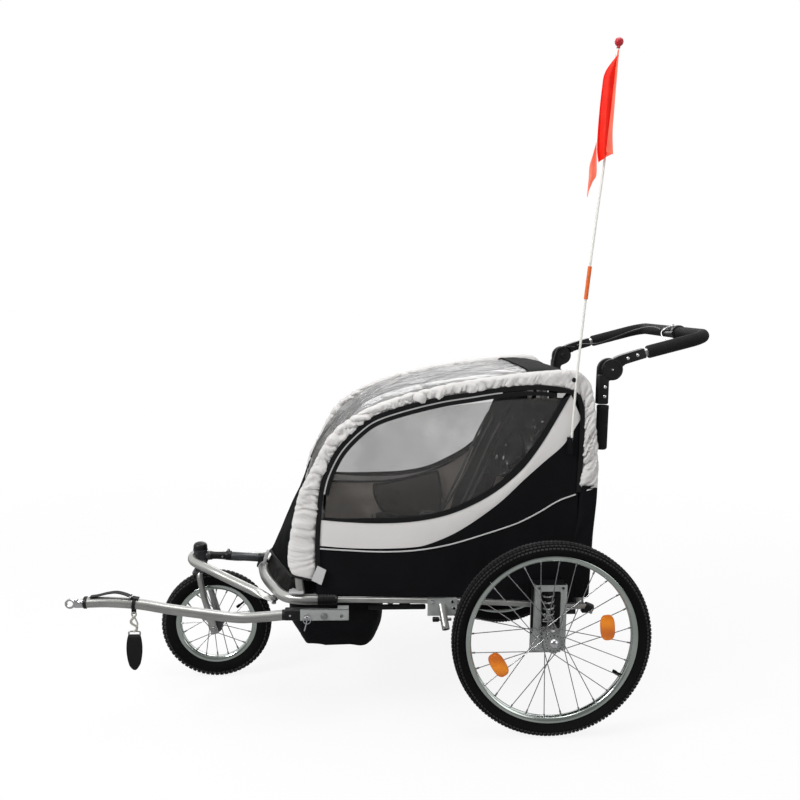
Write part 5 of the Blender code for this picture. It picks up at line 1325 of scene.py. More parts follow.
# %% Crumpled inner sheet
DARK_FRONT = ((-0.161, 0.65), (-0.135, 0.719), (-0.116, 0.783), (-0.098, 0.838))
DARK_REAR = ((-0.107, 0.634), (-0.045, 0.694), (0.004, 0.771), (0.026, 0.838))
dark_front = drawn(DARK_FRONT, 0.27)
dark_rear = drawn(DARK_REAR, 0.27)


def dark_rule(u, v):
    point = along(dark_front, u).lerp(along(dark_rear, u), v)
    loose = rise(v) * rise(min(max(u, 0.02), 0.98)) ** 0.4
    point.y += loose * (0.006 + abs(crumple(Vector((point.x, 0, point.z * 0.35)), 34, 0.022, 6.0)))
    return point


dark_sheet = cloth(70, 50, dark_rule, 0.0006, 60)
settle(dark_sheet, "inner_sheet", dark_film, slot="clear_film")
settle(tube(drawn(DARK_FRONT, 0.2705), 0.0024, 3), "inner_sheet_seam", binding_tape)
tag = slab(
    [(0.0163, 0.8535), (0.0383, 0.853), (0.0293, 0.8415), (0.0163, 0.842)], -0.2865, -0.2845,
    0.0005,
)
tag.location.x = AXLE_X
both(fixed(tag), "window_tag", piping_tape)
print("lining, pocket and inner sheet ready")

# %% [markdown]
# The seat is a padded sheet slung from the roof tube, and a padded base. Padding is what cloth
# simulation does well: a thin solid pad is remeshed into even small faces, air pressure blows it up
# against its own skin for twenty frames, and no point may go further than a set cap. Gravity is
# off, so the pad keeps its place.


# %% Padded seat
def padded_rule(path, half, thick):
    """A closed thin pad along a path of (x, z), from -half to half in y."""
    line = drawn(path, 0)

    def rule(u, v):
        here, ahead = along(line, u), along(line, min(u + 0.01, 1))
        behind = along(line, max(u - 0.01, 0))
        normal = (ahead - behind).normalized().cross(INTO)
        turn = 2 * math.pi * v
        c, s = math.cos(turn), math.sin(turn)
        edge = rise(min(max(u, 0.0), 1.0)) ** 0.25 if 0 < u < 1 else 0.0
        point = here + normal * thick * squared(s, 0.6) * edge
        point.y = half * squared(c, 0.35) * (0.94 + 0.06 * edge)
        return point
    return rule


def blown_up(item, voxel, cap, pressure=4.0):
    """Fills a pad with air by cloth simulation, and holds each point within the cap."""
    modified(item, "REMESH", mode="VOXEL", voxel_size=voxel)
    rest = [v.co.copy() for v in item.data.vertices]
    pick(item)
    cloth = item.modifiers.new("air", "CLOTH")
    cloth.settings.use_pressure = True
    cloth.settings.uniform_pressure_force = pressure
    cloth.settings.effector_weights.gravity = 0
    cloth.settings.quality = 5
    cloth.settings.tension_stiffness = 20
    cloth.settings.compression_stiffness = 20
    cloth.point_cache.frame_start = 1
    cloth.point_cache.frame_end = 20
    for step in range(1, 21):
        scene.frame_set(step)
    graph = bpy.context.evaluated_depsgraph_get()
    swollen = [v.co.copy() for v in item.evaluated_get(graph).data.vertices]
    item.modifiers.remove(cloth)
    scene.frame_set(1)
    for vertex, start, end in zip(item.data.vertices, rest, swollen):
        move = end - start
        vertex.co = start + (move.normalized() * cap if move.length > cap else move)
    return modified(item, "SUBSURF", levels=1, render_levels=1)


def pad(path, half, thick, name, cap, *nodes):
    item = outward(grid_of(60, 48, padded_rule(path, half, thick)))
    blown_up(item, 0.007, cap)
    smooth(item, 60)
    settle(item, name, black_cloth_shaded, *nodes)
    return item


back_pad = pad(
    (
        (-0.199, 0.408), (-0.175, 0.48), (-0.14, 0.57), (-0.098, 0.68), (-0.055, 0.79),
        (-0.034, 0.868),
    ),
    0.213, 0.0055, "seat_back_pad", 0.006, "seat_back",
)
pad(
    ((-0.226, 0.392), (-0.28, 0.394), (-0.34, 0.407), (-0.4, 0.424), (-0.432, 0.424)),
    0.206, 0.0075, "seat_base_pad", 0.006, "seat_base",
)
skirt_line = [
    place(x, 0, z) for x, z in ((-0.434, 0.42), (-0.43, 0.39), (-0.422, 0.355), (-0.412, 0.322))
]


def skirt_rule(u, v):
    point = along(skirt_line, v)
    point.y = (2 * u - 1) * 0.198
    point.x += crumple(point, 25, 0.005, 2.0)
    return point


seat_skirt = cloth(60, 16, skirt_rule, 0.0012, 60)
settle(seat_skirt, "seat_skirt", black_cloth_shaded, slot="black_cloth")
print("seat", len(back_pad.data.polygons), "faces")

# %% [markdown]
# Harness webbing is flat and stiff, so it is modelled directly: a ribbon along a line, a little
# above the pad, with a plastic buckle where the five straps meet.


# %% Harness
def ribbon(points, width):
    """A flat strap along a line, with its width from side to side."""
    line = curve_through(points, 6)
    side = INTO * width / 2
    return cloth(len(line) * 2, 3, lambda u, v: along(line, u) + side * (2 * v - 1), 0.0016)


straps = []
for middle in (-0.105, 0.105):
    for shoulder in (-0.045, 0.045):
        y = middle + shoulder
        straps.append(ribbon([
            place(-0.086, y, 0.745), place(-0.122, y, 0.672),
            place(-0.172, y - shoulder * 0.3, 0.56),
            place(-0.222, y - shoulder * 0.6, 0.47), place(-0.262, middle + shoulder * 0.2, 0.436),
        ], 0.026))
    straps.append(ribbon([
        place(-0.33, middle, 0.424), place(-0.3, middle, 0.432), place(-0.268, middle, 0.437),
    ], 0.028))
settle(joined(*straps), "harness_straps", black_webbing, slot="black_webbing")
buckles = []
for middle in (-0.105, 0.105):
    core = plate((-0.29, middle - 0.024, 0.4345), (-0.246, middle + 0.024, 0.45), 0.004, 3)
    press = plate((-0.281, middle - 0.01, 0.449), (-0.262, middle + 0.01, 0.453), 0.002, 3)
    buckles += [core, press]
settle(joined(*buckles), "harness_buckles", black_plastic)
print("harness ready")

# %% [markdown]
# A wheel is turned: its rim, hub and tyre are profiles spun round the axle. Small parts that repeat
# round it, the tread blocks, spokes and nipples, are modelled once and spun into copies.


# %% Helpers for wheels
def ringed(item, count, centre):
    """Copies of a piece spun round the wheel's axis, joined in one mesh."""
    pick(item)
    bpy.ops.object.mode_set(mode="EDIT")
    bpy.ops.mesh.select_all(action="SELECT")
    bpy.ops.mesh.spin(
        steps=count - 1, angle=2 * math.pi * (count - 1) / count, center=centre, axis=(0, 1, 0),
        dupli=True,
    )
    bpy.ops.object.mode_set(mode="OBJECT")
    return item


def swung(item, degrees, centre, axis="Y"):
    """Turns a piece about a point."""
    pick(item)
    bpy.ops.transform.rotate(
        value=math.radians(degrees), orient_axis=axis, orient_type="GLOBAL", center_override=centre
    )
    return fixed(item)


def tread(centre, section, count, wide, long, high):
    """Rings of rubber blocks: for each row its height on the tyre, sideways place and lean."""
    rings = []
    for k, (at_radius, at_side, lean) in enumerate(section):
        knob = block((-long / 2, -wide / 2, -high), (long / 2, wide / 2, high), high * 0.35, 1)
        swung(knob, lean, (0, 0, 0), "X")
        knob.location = centre + Vector((0, at_side, at_radius))
        fixed(knob)
        swung(knob, 360 / count * (k % 2) / 2, centre)
        rings.append(ringed(knob, count, centre))
    return rings


def casing(radius, thick, seat, seat_half, centre, axis, steps=160):
    """A tyre's round casing: a bead, bulging walls, a square shoulder and a flat tread."""
    middle = radius - thick
    profile = [(seat, seat_half), (seat - 0.002, seat_half * 0.8)]
    profile += [(seat - 0.002, -seat_half * 0.8), (seat, -seat_half)]
    for turn in range(-62, 63, 6):
        lean = math.radians(turn)
        flat = 1 - 0.05 * math.cos(lean) ** 6
        wide, deep = thick * math.sin(lean * 1.25), thick * flat * math.cos(lean * 1.25)
        profile.append((middle + deep, wide))
    profile.append(profile[0])
    return smooth(turned(profile, centre, axis, steps), 50)


def valve(centre, turn, *stems):
    """A valve: round pieces of (outer end, inner end, thickness, bevel), swung to their place."""
    return [
        swung(bar(centre + UP * far, centre + UP * near, *size), turn, centre)
        for far, near, *size in stems
    ]


def spoke_fan(count, radius, hub, hub_side, rim, rim_side, lace, phase, centre, layer=0.002):
    """Crossed tangential spokes, each with its brass-shaped nipple at the rim."""
    bars = []
    for k in range(count):
        side = 1 if k % 2 else -1
        leading = (k // 2) % 2
        at_rim = 2 * math.pi * k / count + math.radians(phase)
        at_hub = at_rim - math.radians(lace if leading else -lace)
        lift = layer if leading else -layer
        low = Vector((hub * math.cos(at_hub), side * (hub_side + lift), hub * math.sin(at_hub)))
        high = Vector((rim * math.cos(at_rim), side * (rim_side + lift), rim * math.sin(at_rim)))
        run = (high - low).normalized()
        bars.append(bar(centre + low, centre + high, radius, 8))
        bars.append(bar(centre + high - run * 0.011, centre + high, radius * 1.9, 8))
        head = Vector((0, side * 0.0016, 0))
        bars.append(bar(centre + low - head, centre + low + head, radius * 1.7, 8))
    return smooth(joined(*bars), 50)


# %% [markdown]
# The rear wheel has a chromed steel rim with a rounded face, a steel hub with two drilled flanges
# and 28 spokes. Its tyre has two rows of small blocks along each shoulder and a ribbed middle.

# %% Rear wheels
WHEEL_AT = place(0, -0.376, 0.25)

rim_profile = [
    (0.201, 0.006), (0.203, 0.009), (0.2065, 0.0112), (0.211, 0.0124), (0.2142, 0.0125),
    (0.215, 0.0118), (0.2146, 0.0106), (0.212, 0.0102), (0.2085, 0.009), (0.2055, 0.005),
]
rim_profile += [(r, -y) for r, y in reversed(rim_profile)] + rim_profile[:1]
both(
    smooth(turned(rim_profile, WHEEL_AT, INTO, 160), 50), "rear_rim", rim_chrome,
    "rear_wheel", body="wheel_left",
)
hub_profile = [
    (0.0066, 0.034), (0.011, 0.0338), (0.0122, 0.0325), (0.0125, 0.0262), (0.0215, 0.0256),
    (0.0258, 0.025), (0.0262, 0.0236), (0.0258, 0.02), (0.018, 0.019), (0.0125, 0.015), (0.0118, 0),
    (0.0125, -0.015), (0.018, -0.019), (0.0258, -0.02), (0.0262, -0.0236), (0.0258, -0.025),
    (0.02, -0.0258), (0.015, -0.0264), (0.0148, -0.0285), (0.011, -0.0292), (0.0066, -0.0292),
    (0.0066, 0.034),
]
hub = turned(hub_profile, WHEEL_AT, INTO, 56)
drills = bar(
    WHEEL_AT + Vector((0, -0.032, 0.0198)), WHEEL_AT + Vector((0, 0.032, 0.0198)), 0.0024, 12,
)
cut(hub, ringed(drills, 14, WHEEL_AT))
both(smooth(hub, 35), "rear_hub", zinc_steel, body="wheel_left")
both(
    spoke_fan(28, 0.0012, 0.0235, 0.022, 0.2035, 0.004, 65, -16.7, WHEEL_AT),
    "rear_spokes", spoke_steel, body="wheel_left",
)
nut_profile = [
    (0.0001, -0.037), (0.005, -0.0364), (0.0085, -0.0345), (0.0112, -0.0318), (0.012, -0.0294),
    (0.006, -0.0292), (0.0059, 0.0342), (0.0098, 0.0342), (0.0098, 0.04), (0.0059, 0.041),
    (0.0059, 0.063), (0.0001, 0.0632),
]
both(
    smooth(turned(nut_profile, WHEEL_AT, INTO, 40)), "rear_axle_nut", chrome,
    "rear_axle", body="carrier_left",
)
tyre = casing(0.249, 0.0225, 0.2146, 0.0095, WHEEL_AT, INTO)
rows = [(0.2425, -0.0158, 42), (0.2362, -0.0205, 62), (0.2425, 0.0158, -42), (0.2362, 0.0205, -62)]
rows += [(0.2472, -0.0085, 18), (0.2472, 0.0085, -18), (0.2482, 0, 0)]
blocks = tread(WHEEL_AT, rows, 150, 0.0048, 0.007, 0.0013)
stems = valve(WHEEL_AT, -118, (0.204, 0.186, 0.0028, 12, 0.0006), (0.189, 0.179, 0.004, 12, 0.0008))
both(joined(tyre, *stems), "rear_tyre_wall", tyre_rubber, "rear_tyre", body="wheel_left")
both(joined(*blocks), "rear_tread", tread_rubber, body="wheel_left", slot="tyre_rubber")


def reflector(name, radius, angle, lean, wide=0.0365, long=0.0655):
    """An amber lens with rounded ends standing proud of a wider rim in the same finish, clipped to
    the spokes.
    """
    outline = [
        (squared(math.cos(turn), 0.72) * wide / 2, squared(math.sin(turn), 0.72) * long / 2)
        for turn in even_turns(40)
    ]
    pieces = []
    for scale, near, far, edge in ((1.0, 0.0, 0.0052, 0.0012), (0.88, -0.0016, 0.003, 0.0008)):
        scaled = [(x * scale, z * scale) for x, z in outline]
        pieces.append(smooth(slab(scaled, near, far, edge), 35))
    clip = block((-0.0045, 0.005, -0.012), (0.0045, 0.0078, 0.012), 0.001)
    placed = swung(joined(*pieces, clip), lean, (0, 0, 0))
    placed.location = WHEEL_AT + Vector((radius, -0.0212, 0))
    fixed(placed)
    swung(placed, angle, WHEEL_AT)
    low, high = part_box(name + "_left")
    middle = (low + high) / 2
    placed.location.y = middle.y + 0.0004 - (WHEEL_AT.y - 0.0212) - 0.004
    return both(placed, name + "_lens", amber_lens, name, body="wheel_left")


reflector("reflector_1", 0.139, 15, -10)
reflector("reflector_2", 0.1456, -157, 9)

# %% [markdown]
# The small front wheel is built in the same way. It turns in a fork of two bent blades, flattened
# at the axle, and the fork turns in a head tube that the bent arm carries.

# %% Front wheel
FRONT_AT = place(-0.88, 0, 0.155)
front_rim = [(r - 0.101, y * 0.88) for r, y in rim_profile]
settle(
    smooth(turned(front_rim, FRONT_AT, INTO, 128), 50),
    "front_rim", rim_chrome, "front_wheel", body="front_wheel",
)
front_hub = [
    (0.0056, 0.04), (0.01, 0.0398), (0.0105, 0.03), (0.015, 0.0285), (0.0195, 0.0272),
    (0.0205, 0.0262), (0.0205, 0.0242), (0.0195, 0.0232), (0.014, 0.02), (0.0115, 0.015),
]
front_hub += [(r, -y) for r, y in reversed(front_hub)] + front_hub[:1]
settle(smooth(turned(front_hub, FRONT_AT, INTO), 35), "front_hub", dark_metal, body="front_wheel")
settle(
    spoke_fan(20, 0.0012, 0.0185, 0.0255, 0.1025, 0.0035, 50, 0, FRONT_AT),
    "front_spokes", spoke_steel, body="front_wheel",
)
front_casing = casing(0.154, 0.0205, 0.1136, 0.0085, FRONT_AT, INTO, 128)
stems = valve(FRONT_AT, -52, (0.103, 0.077, 0.003, 12, 0.0006), (0.084, 0.072, 0.0042, 12, 0.0008))
settle(
    joined(front_casing, *stems), "front_tyre_wall", tyre_rubber, "front_tyre", body="front_wheel",
)
front_rows = [
    (0.1485, -0.014, 42), (0.1425, -0.0182, 62), (0.1485, 0.014, -42), (0.1425, 0.0182, -62),
]
front_rows += [(0.1525, -0.0078, 18), (0.1525, 0.0078, -18), (0.1532, 0, 0)]
front_blocks = tread(FRONT_AT, front_rows, 72, 0.0056, 0.0095, 0.0015)
settle(joined(*front_blocks), "front_tread", tread_rubber, body="front_wheel", slot="tyre_rubber")

# %% [markdown]
# The fork's blades are silver tubes that run forward and down, pressed flat at the axle. The crown
# and the lower cup are black.

# %% Fork
blade_line = curve_through([place(*point) for point in (
    (-0.919, -0.0395, 0.3145), (-0.917, -0.0475, 0.298), (-0.9095, -0.0475, 0.255),
    (-0.8985, -0.0475, 0.215), (-0.886, -0.0475, 0.167), (-0.878, -0.0475, 0.14),
)], 8)
blade = tube(blade_line, 0.0085, 5)
for vertex in blade.data.vertices:
    share = min(max((0.225 - vertex.co.z) / 0.05, 0), 1)
    vertex.co.y = -0.0475 + (vertex.co.y + 0.0475) * (1 - 0.56 * share)
    nearest = min(blade_line, key=lambda point: abs(point.z - vertex.co.z))
    vertex.co.x = nearest.x + (vertex.co.x - nearest.x) * (1 + 0.3 * share)
smooth(blade, 60)
crown = plate((-0.9395, -0.0475, 0.31), (-0.912, 0.0475, 0.3215), 0.0045, 3)
settle(joined(blade, mirrored(blade)), "fork_blades", silver_paint, "fork", body="fork")
stem = turned([
    (0.0001, 0), (0.017, 0), (0.0178, 0.004), (0.0172, 0.01), (0.0178, 0.0118), (0.012, 0.0122),
    (0.012, 0.048), (0.0001, 0.048),
], place(-0.9235, 0, 0.3215), UP, 40)
settle(joined(smooth(stem, 35), smooth(crown, 35)), "fork_crown", dark_metal, body="fork")
fork_nuts = []
for side in (-1, 1):
    out = Vector((0, side, 0))
    at = FRONT_AT + out * 0.0475
    fork_nuts += [
        bar(at + out * 0.0035, at + out * 0.005, 0.0095, 28, 0.0004),
        bar(at + out * 0.005, at + out * 0.0088, 0.0078, 6, 0.0008),
        bar(at + out * 0.0088, at + out * 0.011, 0.0048, 20, 0.0006),
    ]
fork_nuts.append(bar(FRONT_AT + INTO * -0.055, FRONT_AT + INTO * 0.055, 0.005, 20))
settle(joined(*fork_nuts), "fork_axle", zinc_steel, body="fork")

# %% [markdown]
# The arm is one bent tube: it starts flattened under the bow on one side, goes round the front of
# the head and ends under the bow on the other side. A strut from the head to the bow stiffens it.

# %% Arm, head and strut
half_arm = (
    (-0.933, 0.04, 0.346), (-0.88, 0.088, 0.338), (-0.829, 0.123, 0.326), (-0.75, 0.179, 0.309),
    (-0.718, 0.198, 0.3), (-0.694, 0.215, 0.297),
)
far_arm = [(x, y, z - 0.016 * rise(min(k / 4, 1))) for k, (x, y, z) in enumerate(half_arm)]
arm_points = [(x, -y, z) for x, y, z in reversed(half_arm)] + [(-0.945, 0, 0.35)] + far_arm
arm_line = curve_through([place(*point) for point in arm_points], 8)
arm = tube(arm_line, 0.0125, 7)
for vertex in arm.data.vertices:
    far = abs(vertex.co.y)
    share = min(max((far - 0.186) / 0.016, 0), 1)
    nearest = min(arm_line, key=lambda point: (point - vertex.co).length)
    vertex.co.z = nearest.z + (vertex.co.z - nearest.z) * (1 - 0.7 * share)
settle(smooth(arm, 60), "front_arm", silver_paint, "stroller_arm")
arm_bolts = []
for side in (-1, 1):
    at = place(-0.698, side * 0.213, 0)
    arm_bolts += [
        bar(at + UP * 0.288, at + UP * 0.293, 0.0068, 6, 0.0008),
        bar(at + UP * 0.293, at + UP * 0.3095, 0.0038, 16),
        bar(at + UP * 0.301, at + UP * 0.309, 0.009, 24, 0.001),
    ]
settle(joined(*arm_bolts), "arm_bolts", zinc_steel)

HEAD_X = -0.9235
head_profile = [
    (0.0126, 0.0), (0.0175, 0.0), (0.0205, 0.002), (0.0208, 0.0062), (0.019, 0.008),
    (0.0182, 0.015), (0.0182, 0.028), (0.0192, 0.033), (0.0203, 0.0345), (0.0203, 0.0378),
    (0.0126, 0.038), (0.0126, 0.0),
]
head = smooth(turned(head_profile, place(HEAD_X, 0, 0.334), UP), 35)
lug = rod((-0.907, 0, 0.353), (-0.8945, 0, 0.353), 0.0128, 32, 0.0016)
settle(joined(head, smooth(lug, 35)), "head_tube", dark_metal, slot="dark_grey_paint")
dome_profile = [
    (0.0001, 0.0205), (0.006, 0.0202), (0.011, 0.019), (0.015, 0.017), (0.018, 0.0136),
    (0.0193, 0.009), (0.0197, 0.0002), (0.0001, 0.0002),
]
settle(
    smooth(turned(dome_profile, place(HEAD_X, 0, 0.372), UP)),
    "head_dome", black_plastic, "head_cap",
)
strut = [
    rod((-0.8942, 0, 0.353), (-0.843, 0, 0.353), 0.0104, 32),
    rod((-0.8942, 0, 0.353), (-0.89, 0, 0.353), 0.0122, 32, 0.001),
    rod((-0.852, 0, 0.353), (-0.836, 0, 0.3525), 0.0136, 32, 0.002),
    rod((-0.7615, 0, 0.346), (-0.7445, 0, 0.344), 0.013, 32, 0.002),
]
hook_line = [
    place(-0.744 + 0.018 * math.cos(turn), 0, 0.321 + 0.018 * math.sin(turn))
    for turn in [math.radians(-8 + 11 * k) for k in range(18)]
]
hook = tube(hook_line, 0.0036)
for vertex in hook.data.vertices:
    vertex.co.y *= 3.4
settle(
    smooth(joined(*strut, hook)), "strut_ends", black_plastic, "brace_strut", slot="black_plastic",
)
settle(
    smooth(rod((-0.838, 0, 0.3515), (-0.756, 0, 0.3455), 0.0118, 40, 0.0012)),
    "strut_tube", dark_metal,
)
pin = [
    rod((-0.844, 0, 0.364), (-0.844, 0, 0.372), 0.0038, 20, 0.001),
    rod((-0.86, -0.015, 0.353), (-0.86, 0.015, 0.353), 0.0026, 16, 0.0006),
]
settle(joined(*pin), "strut_button", zinc_steel)
print("front wheel, fork, arm and strut ready")

# %% [markdown]
# The floor frame is silver tube: two rails, a bow bent round the front, and cross bars. Black
# moulded sleeves join rail and bow. The arches stand on the rails under their cloth sleeves, so
# only their feet are seen, and the two tubes over the roof are given the dark tape finish.


# %% Frame tubes
def rail_height(x):
    for (x0, z0), (x1, z1) in zip(RAIL, RAIL[1:]):
        if x <= x1:
            return z0 + (z1 - z0) * (x - x0) / (x1 - x0)
    return RAIL[-1][1]


RAIL = ((-0.599, 0.3213), (-0.581, 0.321), (-0.217, 0.313), (0.084, 0.297), (0.112, 0.2945))
rails = [tube(drawn(RAIL, side), 0.008, 6) for side in (0.275, -0.275)]
for x in (-0.395, -0.25, 0.06):
    z = rail_height(x) - 0.012
    rails.append(rod((x, -0.258, z), (x, 0.258, z), 0.008, 28))
settle(smooth(joined(*rails), 60), "floor_rails", silver_paint, "floor_frame")

half_bow = ((-0.581, 0.275), (-0.623, 0.2725), (-0.667, 0.249), (-0.7, 0.18), (-0.731, 0.09))
bow_points = [(x, -y) for x, y in half_bow] + [(-0.744, 0)] + list(reversed(half_bow))
bow_line = curve_through([place(x, y, 0.321) for x, y in bow_points], 10)
bow = smooth(tube(bow_line, 0.014, 7), 60)
settle(bow, "front_bow_tube", silver_paint, "front_bow")

sleeve_profile = [(0.0081, 0.0), (0.0156, 0.0), (0.016, 0.0015), (0.0158, 0.0065)]
for k in range(5):
    start, wide = 0.01 + 0.0072 * k, 0.016 - 0.0002 * k
    sleeve_profile += [(wide, start), (wide, start + 0.0042)]
    sleeve_profile += [(wide - 0.001, start + 0.0048), (wide - 0.001, start + 0.0066)]
sleeve_profile += [
    (0.0152, 0.047), (0.0138, 0.0492), (0.011, 0.0505), (0.0081, 0.0505), (0.0081, 0.0),
]
sleeve = turned(sleeve_profile, place(-0.5805, -0.275, 0.3225), Vector((0.9997, 0, -0.022)), 40)
both(smooth(sleeve, 35), "bow_sleeve_ribbed", black_plastic, "bow_sleeve")

cap_profile = [
    (0.0081, -0.012), (0.0108, -0.012), (0.0116, -0.01), (0.012, -0.002), (0.012, 0.006),
    (0.011, 0.0095), (0.0072, 0.0115), (0.0001, 0.012),
]
rail_cap = turned(cap_profile, place(0.12, -0.275, 0.2925), Vector((0.92, 0, -0.39)), 36)
foot = plate((0.1, -0.2835, 0.28), (0.126, -0.2665, 0.293), 0.003, 3)
both(smooth(joined(rail_cap, foot)), "rail_end", black_plastic, "rail_joint")
end_bolt = rod((0.1215, -0.2885, 0.285), (0.1215, -0.2925, 0.285), 0.0042, 6, 0.0008)
both(end_bolt, "rail_end_bolt", zinc_steel)

ARCH = (
    (-0.624, 0.336), (-0.628, 0.372), (-0.629, 0.432), (-0.605, 0.58), (-0.562, 0.693),
    (-0.466, 0.79), (-0.327, 0.843), (-0.108, 0.881), (0.03, 0.887), (0.084, 0.862), (0.103, 0.74),
    (0.107, 0.61), (0.097, 0.46), (0.096, 0.306),
)
arches = [tube(drawn(ARCH, side), 0.0108, 5) for side in (0.27, -0.27)]
settle(smooth(joined(*arches), 60), "cabin_arches", silver_paint, "cabin_frame")
crown = [rod((x, -0.262, z), (x, 0.262, z), 0.0078) for x, z in ((-0.3, 0.8485), (-0.015, 0.885))]
settle(smooth(joined(*crown), 60), "roof_tubes", binding_tape)
clips = [
    plate((-0.648, -0.2905, 0.3395), (-0.616, -0.256, 0.3455), 0.0022, 3),
    plate((-0.654, -0.286, 0.338), (-0.644, -0.26, 0.344), 0.0022, 3),
]
both(smooth(joined(*clips)), "arch_foot_clips", piping_tape)

# %% [markdown]
# Under the cabin a riveted plate on each rail holds a short tube that points out and down, with a
# knobbed screw through its end.

# %% Stub brackets
plate_z = rail_height(-0.261)
sheet = [
    plate((-0.301, -0.2862, plate_z - 0.036), (-0.225, -0.283, plate_z + 0.008), 0.0009),
    plate((-0.301, -0.2862, plate_z + 0.0052), (-0.225, -0.265, plate_z + 0.0082), 0.0009),
]
both(joined(*sheet), "stub_plate", plate_steel)
rivets = [
    rod((x, -0.286, z), (x, -0.2895, z), 0.0046, 20, 0.0012)
    for x, z in ((-0.29, 0.316), (-0.238, 0.316), (-0.233, 0.299))
]
rivets.append(rod((-0.263, -0.32, 0.264), (-0.263, -0.334, 0.266), 0.0026, 14, 0.0006))
both(joined(*rivets), "stub_rivets", chrome)
stub = rod((-0.2655, -0.284, 0.307), (-0.257, -0.324, 0.257), 0.0098, 36)
hollow = rod((-0.259, -0.314, 0.2695), (-0.256, -0.329, 0.2508), 0.008, 32)
both(smooth(cut(stub, hollow), 35), "stub_tube", silver_paint)
both(
    smooth(rod((-0.276, -0.309, 0.278), (-0.242, -0.309, 0.278), 0.004, 16, 0.001)),
    "stub_screw", zinc_steel,
)
both(
    smooth(rod((-0.29, -0.309, 0.278), (-0.274, -0.309, 0.278), 0.007, 8, 0.0018)),
    "stub_knob", black_plastic,
)
print("frame tubes ready")

# %% [markdown]
# Each wheel hangs on a folded steel plate outside the rail. The front of the plate has a tall
# window, and in it a bright spring stands round a damper on the block that carries the axle. The
# springs stay as they are in the frame, since they squash when the wheel rises.

# %% Suspension
front_plate = plate((-0.035, -0.3333, 0.202), (0.047, -0.3303, 0.373), 0.0009)
window = plate((-0.019, -0.34, 0.231), (0.031, -0.32, 0.357), 0.0045, 3)
front_plate = cut(front_plate, window)
folds = [
    plate((-0.035, -0.333, 0.202), (-0.033, -0.32, 0.373), 0.0006),
    plate((0.045, -0.333, 0.202), (0.047, -0.32, 0.373), 0.0006),
    plate((-0.035, -0.2863, 0.1765), (0.047, -0.2833, 0.318), 0.0009),
]
both(smooth(joined(front_plate, *folds)), "wheel_plate", plate_steel, "suspension_bracket")
shell = [
    plate((-0.0345, -0.33, 0.369), (0.0465, -0.284, 0.3722), 0.0009),
    plate((-0.0345, -0.2895, 0.23), (0.0465, -0.2864, 0.3722), 0.0009),
    plate((0.04, -0.2863, 0.279), (0.083, -0.2833, 0.292), 0.0009),
]
both(joined(*shell), "wheel_plate_back", black_plastic)
plate_bolts = [
    rod((x, -0.333, 0.3655), (x, -0.3362, 0.3655), 0.0034, 16, 0.0008) for x in (-0.0245, 0.0365)
]
both(joined(*plate_bolts), "wheel_plate_bolts", dark_metal)
damper_profile = [
    (0.0001, 0), (0.0062, 0), (0.0066, 0.001), (0.0066, 0.028), (0.0095, 0.0292), (0.01, 0.031),
    (0.01, 0.048), (0.0092, 0.05), (0.0092, 0.068), (0.0001, 0.069),
]
damper = turned(damper_profile, place(0.006, -0.3083, 0.3), UP, 32)
both(smooth(damper, 35), "damper", black_plastic)
carrier = [
    plate((-0.024, -0.329, 0.2325), (0.036, -0.288, 0.2675), 0.0022, 3),
    plate((-0.0175, -0.335, 0.234), (0.0295, -0.325, 0.266), 0.002, 3),
]
both(smooth(joined(*carrier)), "axle_block", black_plastic, "axle_carrier", body="carrier_left")
both(
    smooth(rod((0.006, -0.3083, 0.266), (0.006, -0.3083, 0.334), 0.0057)),
    "guide_pin", chrome, body="carrier_left",
)
for side in ("left", "right"):
    frame["nodes"]["spring_" + side].data.materials[0] = spring_steel
print("suspension ready")

# %% [markdown]
# The tow bar is a bent silver tube in a black end block, which turns between the cheeks of a zinc
# receiver. A pin with a ring locks it straight.

# %% Receiver and hitch pin
cheeks = [
    plate((-0.623, -0.3223, 0.283), (-0.502, -0.3193, 0.312), 0.0008),
    plate((-0.623, -0.2923, 0.283), (-0.502, -0.2893, 0.3), 0.0008),
    plate((-0.623, -0.3223, 0.31), (-0.502, -0.3165, 0.312), 0.0008),
    plate((-0.53, -0.3223, 0.308), (-0.502, -0.2893, 0.31), 0.0008),
    plate((-0.623, -0.32, 0.283), (-0.502, -0.2893, 0.2848), 0.0008),
]
for x in (-0.606, -0.52):
    cut(cheeks[0], rod((x, -0.335, 0.294), (x, -0.31, 0.294), 0.0047))
settle(smooth(joined(*cheeks)), "receiver", plate_steel, "receiver_bracket", slot="zinc")
pivot = [
    rod((-0.563, -0.3222, 0.294), (-0.563, -0.3234, 0.294), 0.0092, 28, 0.0004),
    rod((-0.563, -0.3234, 0.294), (-0.563, -0.3262, 0.294), 0.007, 6, 0.0008),
    rod((-0.563, -0.3222, 0.294), (-0.563, -0.289, 0.294), 0.0039, 20),
]
settle(joined(*pivot), "receiver_bolt", zinc_steel)
pin_pieces = [
    rod((-0.606, -0.3262, 0.294), (-0.606, -0.29, 0.294), 0.0039, 24, 0.0008),
    rod((-0.606, -0.3262, 0.294), (-0.606, -0.3226, 0.294), 0.0074, 28, 0.0012),
]
ring_line = [
    place(
        -0.606 + 0.009 * math.sin(turn), -0.3245 - 0.0012 * math.cos(turn),
        0.285 + 0.01 * math.cos(turn),
    )
    for turn in even_turns(36)
]
pin_pieces.append(tube(ring_line, 0.0011, 3, closed=True))
pin_leg = drawn(((-0.606, 0.287), (-0.6085, 0.274), (-0.6125, 0.259)), 0.328, 4)
pin_pieces.append(tube(pin_leg, 0.0016, 3))
settle(smooth(joined(*pin_pieces)), "hitch_pin_ringed", chrome, "hitch_pin", body="hitch_pin")

